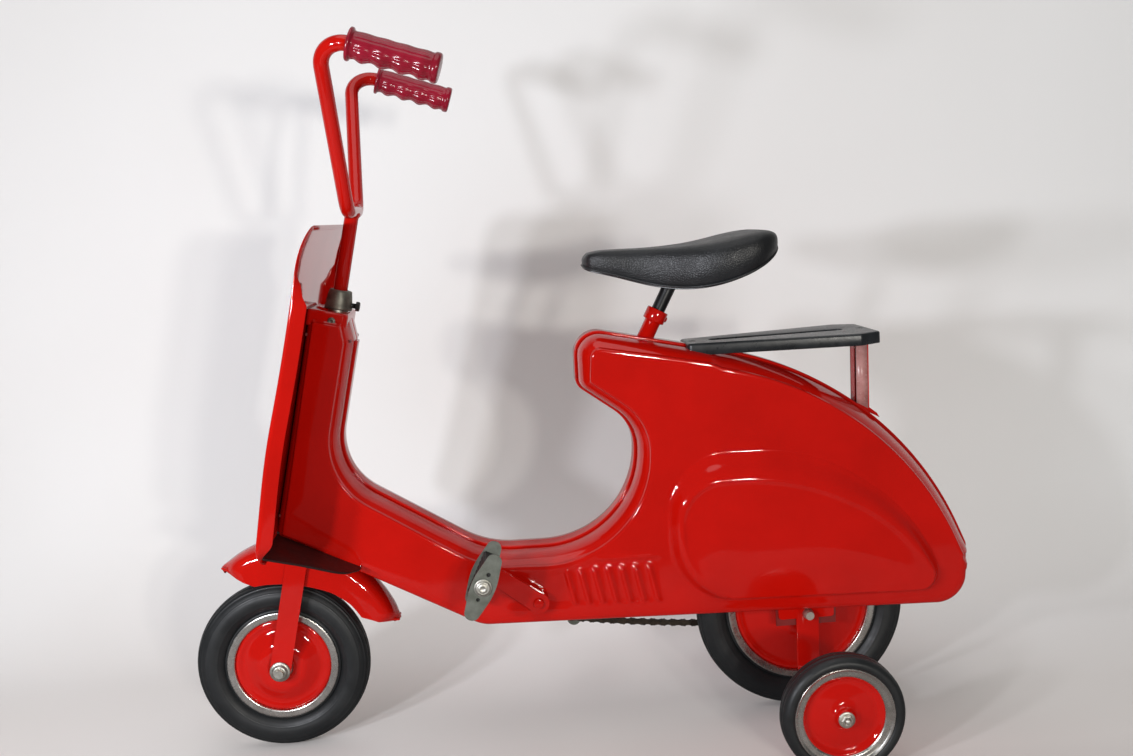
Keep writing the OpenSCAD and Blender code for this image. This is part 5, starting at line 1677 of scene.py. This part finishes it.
# %% The column's lid
def column_lid():
    """A shallow pressed lid with rounded edges over the top of the column, open round the steerer."""
    corners = [(-28, -43, 5), (17, -43, 7), (17, 43, 7), (-28, 43, 5)]
    p = arc_plan(corners, 4)
    edge = ((0.0, 409.0), (0, 412), (0, 423.4), (0.3, 425.0), (1.1, 426.2), (2.4, 426.9), (4.5, 427))
    rows = [[(t, y, s) for t, y in ring(corners, p, inset)] for inset, s in edge]
    n = len(rows[0])
    points = [q for r in rows for q in r]
    faces = grid_faces(len(rows), n, wrap_cols=True)
    outer = [(q[0], q[1]) for q in rows[-1]]
    hole = round_profile(0, 0, 16.3, 48)
    flat = [Vector(q) for q in outer + hole]
    edges = [(i, (i + 1) % n) for i in range(n)] + [(n + i, n + (i + 1) % 48) for i in range(48)]
    verts, _, tris, _, _, _ = delaunay_2d_cdt(flat, edges, [], 2, 1e-5)
    first = len(points)
    points += [(v[0], v[1], 427) for v in verts]
    faces += [tuple(first + i for i in t) for t in tris if inside_all(t, verts, [outer, hole])]
    points = [steer_xyz(s, t, y) for t, y, s in points]
    return settle(mesh_object("column_lid_pressing", points, faces, enamel, thick=1.6), "frame", "column_cap")


column_lid()

# %% [markdown]
# Plain tubes, axles, bushes and folded plates are right as the CAD part has them. They stay where they are,
# and each one's material slot gets the finish of the real piece.

# %% Finishes of the pieces kept from the CAD part
FINISH = {
    "head_tube": enamel_inside, "head_plates": enamel_inside, "head_bushes": nylon, "shield_rivets": enamel,
    "axle_plates": enamel_inside, "rear_axle": zinc, "front_axle": zinc, "crank_bushes": enamel,
    "steerer_tube": zinc, "seat_post": dark_steel,
}
for node, material in FINISH.items():
    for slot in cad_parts[node].material_slots:
        slot.material = material
print("pieces kept from the CAD part:", len(FINISH))

# %% [markdown]
# ## Stage, lights and camera
#
# The photo was taken on white paper that runs up the wall in a bend, so there is no corner behind the toy.
# The sheet is one strip of mesh here. It shows only from its front, so that views from behind look through
# it.
#
# Its shader has two jobs besides being white. In a gloss paint the toy would mirror the whole bright sheet,
# where the real studio is darker at the sides, so mirror rays see it dimmed. And the floor in front of the
# toy is toned down for the camera, since it burns out to white in views from above.

# %% The white paper
WALL_Y = 600
BEND = 380

paper = bpy.data.materials.new("white paper sweep")
paper.use_nodes = True
tree = paper.node_tree
shader = tree.nodes["Principled BSDF"]
shader.inputs["Roughness"].default_value = 0.9
shader.inputs["Specular IOR Level"].default_value = 0.2
spot = add(tree, "ShaderNodeTexCoord").outputs["Object"]
depth = add(tree, "ShaderNodeSeparateXYZ", None, {0: spot}).outputs["Y"]
rays = add(tree, "ShaderNodeLightPath").outputs
cloud = add(tree, "ShaderNodeTexNoise", {"Scale": METRE / 700, "Detail": 2.0, "Roughness": 0.4},
            {"Vector": spot})
drift = add(tree, "ShaderNodeMapRange", {"From Min": 0.35, "From Max": 0.65}, {"Value": cloud.outputs["Fac"]})
tones = [add(tree, "ShaderNodeMix", {"data_type": "RGBA", MIX_A: linear(a), MIX_B: linear(b)},
             {MIX_FACTOR: drift.outputs["Result"]}).outputs[MIX_OUT]
         for a, b in (("E0DCDA", "D8D3CF"), ("F2F2F2", "EBEAE9"))]
to_wall = add(tree, "ShaderNodeMapRange", {"From Min": 0.0, "From Max": 0.5}, {"Value": depth})
plain = add(tree, "ShaderNodeMix", {"data_type": "RGBA"},
            {MIX_FACTOR: to_wall.outputs["Result"], MIX_A: tones[0], MIX_B: tones[1]})
in_front = add(tree, "ShaderNodeMapRange",
               {"From Min": -0.7, "From Max": -0.15, "To Min": 0.6, "To Max": 0.0}, {"Value": depth})
near = add(tree, "ShaderNodeMath", {"operation": "MULTIPLY"},
           {0: rays["Is Camera Ray"], 1: in_front.outputs["Result"]})
toned = add(tree, "ShaderNodeMix", {"data_type": "RGBA", MIX_B: linear("1C1B1A")},
            {MIX_FACTOR: near.outputs[0], MIX_A: plain.outputs[MIX_OUT]})
tree.links.new(toned.outputs[MIX_OUT], shader.inputs["Base Color"])
gloom = add(tree, "ShaderNodeBsdfDiffuse", {"Color": (0.012, 0.012, 0.012, 1.0)})
dimming = add(tree, "ShaderNodeMapRange",
              {"From Min": 0.05, "From Max": 0.5, "To Min": 0.66, "To Max": 0.15}, {"Value": depth})
mirrored = add(tree, "ShaderNodeMath", {"operation": "MULTIPLY"},
               {0: rays["Is Glossy Ray"], 1: dimming.outputs["Result"]})
front = add(tree, "ShaderNodeMixShader", None,
            {0: mirrored.outputs[0], 1: shader.outputs["BSDF"], 2: gloom.outputs["BSDF"]})
one_sided = add(tree, "ShaderNodeMixShader", None,
                {0: add(tree, "ShaderNodeNewGeometry").outputs["Backfacing"], 1: front.outputs["Shader"],
                 2: add(tree, "ShaderNodeBsdfTransparent").outputs["BSDF"]})
tree.links.new(one_sided.outputs["Shader"], tree.nodes["Material Output"].inputs["Surface"])


def paper_sweep():
    """The sheet: level floor, a round bend and the wall."""
    profile = [(-670, 0), (-400, 0), (0, 0), (WALL_Y - BEND, 0)]
    profile += [(WALL_Y - BEND + BEND * math.sin(a), BEND - BEND * math.cos(a))
                for a in np.linspace(0.1, math.pi / 2, 16)]
    profile += [(WALL_Y, 700), (WALL_Y, 1400), (WALL_Y, 2600)]
    xs = np.linspace(-3200, 3200, 41)
    points = [(x + X_MID, y, z - 0.4) for x in xs for y, z in profile]
    obj = mesh_object("paper_sweep", points, grid_faces(len(xs), len(profile)), paper)
    for f in obj.data.polygons:
        if f.center.z < 0.01 and f.normal.z < 0:
            obj.data.flip_normals()
            break
    print("paper: bend of", BEND, "mm,", len(obj.data.polygons), "faces")


paper_sweep()

# %% [markdown]
# ### Lamps
#
# The shadows on the photo's wall come in two pairs, so two lamps stand on each side in front of the toy.
# Their places were found by following each shadow back past the piece that throws it. The discs are small,
# 10 to 14 cm, since the shadows have crisp edges. A large soft lamp overhead stands for the light that the
# room gives back.

# %% Five lamps
LAMPS = [
    ("left_lamp_far", (-0.882, -1.287, 0.60), (0.05, 0.2, 0.4), 0.10, 8.3, "F6F8FF"),
    ("left_lamp_near", (-0.935, -0.982, 0.606), (0.05, 0.2, 0.4), 0.10, 6.3, "F6F8FF"),
    ("right_lamp_far", (0.793, -2.687, 0.617), (0.0, 0.1, 0.4), 0.14, 13.5, "FFFBF3"),
    ("right_lamp_near", (0.454, -2.370, 0.638), (0.0, 0.1, 0.4), 0.14, 10, "FFFBF3"),
    ("ceiling_lamp", (0.0, -0.5, 2.7), (0.0, 0.2, 0.3), 2.2, 14, "FFFFFF"),
]
for name, at, target, size, power, colour in LAMPS:
    data = bpy.data.lights.new(name, "AREA")
    data.shape = "DISK"
    data.size = size
    data.energy = power
    data.color = linear(colour)[:3]
    lamp = bpy.data.objects.new(name, data)
    lamp.location = at
    lamp.rotation_euler = (Vector(target) - Vector(at)).to_track_quat("-Z", "Y").to_euler()
    bpy.context.scene.collection.objects.link(lamp)
    print(f"{name}: {power} W, {size * 100:.0f} cm wide")

# %% [markdown]
# ### The room round the set
#
# What isn't paper is a pale room. The camera sees it nearly white, the toy is lit by a third of that, and
# in mirror rays it is dimmer still, because a real room is full of dark things that gloss paint picks up.
# One brightness for all three would give either a grey picture or a milky red.

# %% The pale room
ROOM_LIGHT, ROOM_MIRRORED, ROOM_SEEN = 0.33, 0.09, 0.9
world = bpy.data.worlds.new("pale room")
bpy.context.scene.world = world
world.use_nodes = True
tree = world.node_tree
background = tree.nodes["Background"]
background.inputs["Color"].default_value = linear("F4F4F4")
rays = add(tree, "ShaderNodeLightPath").outputs
direct = add(tree, "ShaderNodeMath", {"operation": "MAXIMUM"},
             {0: rays["Is Camera Ray"], 1: rays["Is Transmission Ray"]})
bright = add(tree, "ShaderNodeMath", {"operation": "MULTIPLY", 1: ROOM_SEEN}, {0: direct.outputs[0]})
dim = add(tree, "ShaderNodeMapRange", {"To Min": ROOM_LIGHT, "To Max": ROOM_MIRRORED},
          {"Value": rays["Is Glossy Ray"]})
strength = add(tree, "ShaderNodeMath", {"operation": "MAXIMUM"},
               {0: dim.outputs["Result"], 1: bright.outputs[0]})
tree.links.new(strength.outputs[0], background.inputs["Strength"])
print("room:", ROOM_SEEN, "seen,", ROOM_LIGHT, "as light,", ROOM_MIRRORED, "in mirrors")

# %% [markdown]
# ### The camera
#
# The camera was fitted to the ellipses of the wheels in the photo, which fix its place, its turn and its
# lens together. Setting it up by eye would come close, but a pixel of shift at the tail is more than the
# bevels are wide. The picture is 1133 pixels wide.

# %% The photo's camera
F_PIXELS = 1124.276
PHOTO_WIDTH = 1133
SENSOR_MM = 36
CAMERA_AT = (273.9126, -1304.458, 609.7415)
yaw, pitch, roll = 0.0618928, 0.1427893, -0.0532533
forward = Vector((math.sin(yaw) * math.cos(pitch), math.cos(yaw) * math.cos(pitch), -math.sin(pitch)))
level_right = Vector((math.cos(yaw), -math.sin(yaw), 0))
level_up = level_right.cross(forward)
camera_x = level_right * math.cos(roll) + level_up * math.sin(roll)
camera_y = level_up * math.cos(roll) - level_right * math.sin(roll)
camera_data = bpy.data.cameras.new("photo_camera")
camera_data.sensor_width = SENSOR_MM
camera_data.lens = SENSOR_MM * F_PIXELS / PHOTO_WIDTH
camera = bpy.data.objects.new("photo_camera", camera_data)
bpy.context.scene.collection.objects.link(camera)
turn = Matrix((camera_x, camera_y, -forward)).transposed().to_4x4()
camera.matrix_world = Matrix.Translation(place(CAMERA_AT)) @ turn
bpy.context.scene.camera = camera
bpy.context.scene.view_settings.view_transform = "Standard"
print(f"camera: {camera_data.lens:.1f} mm lens, {-CAMERA_AT[1] / 1000:.2f} m to the left")
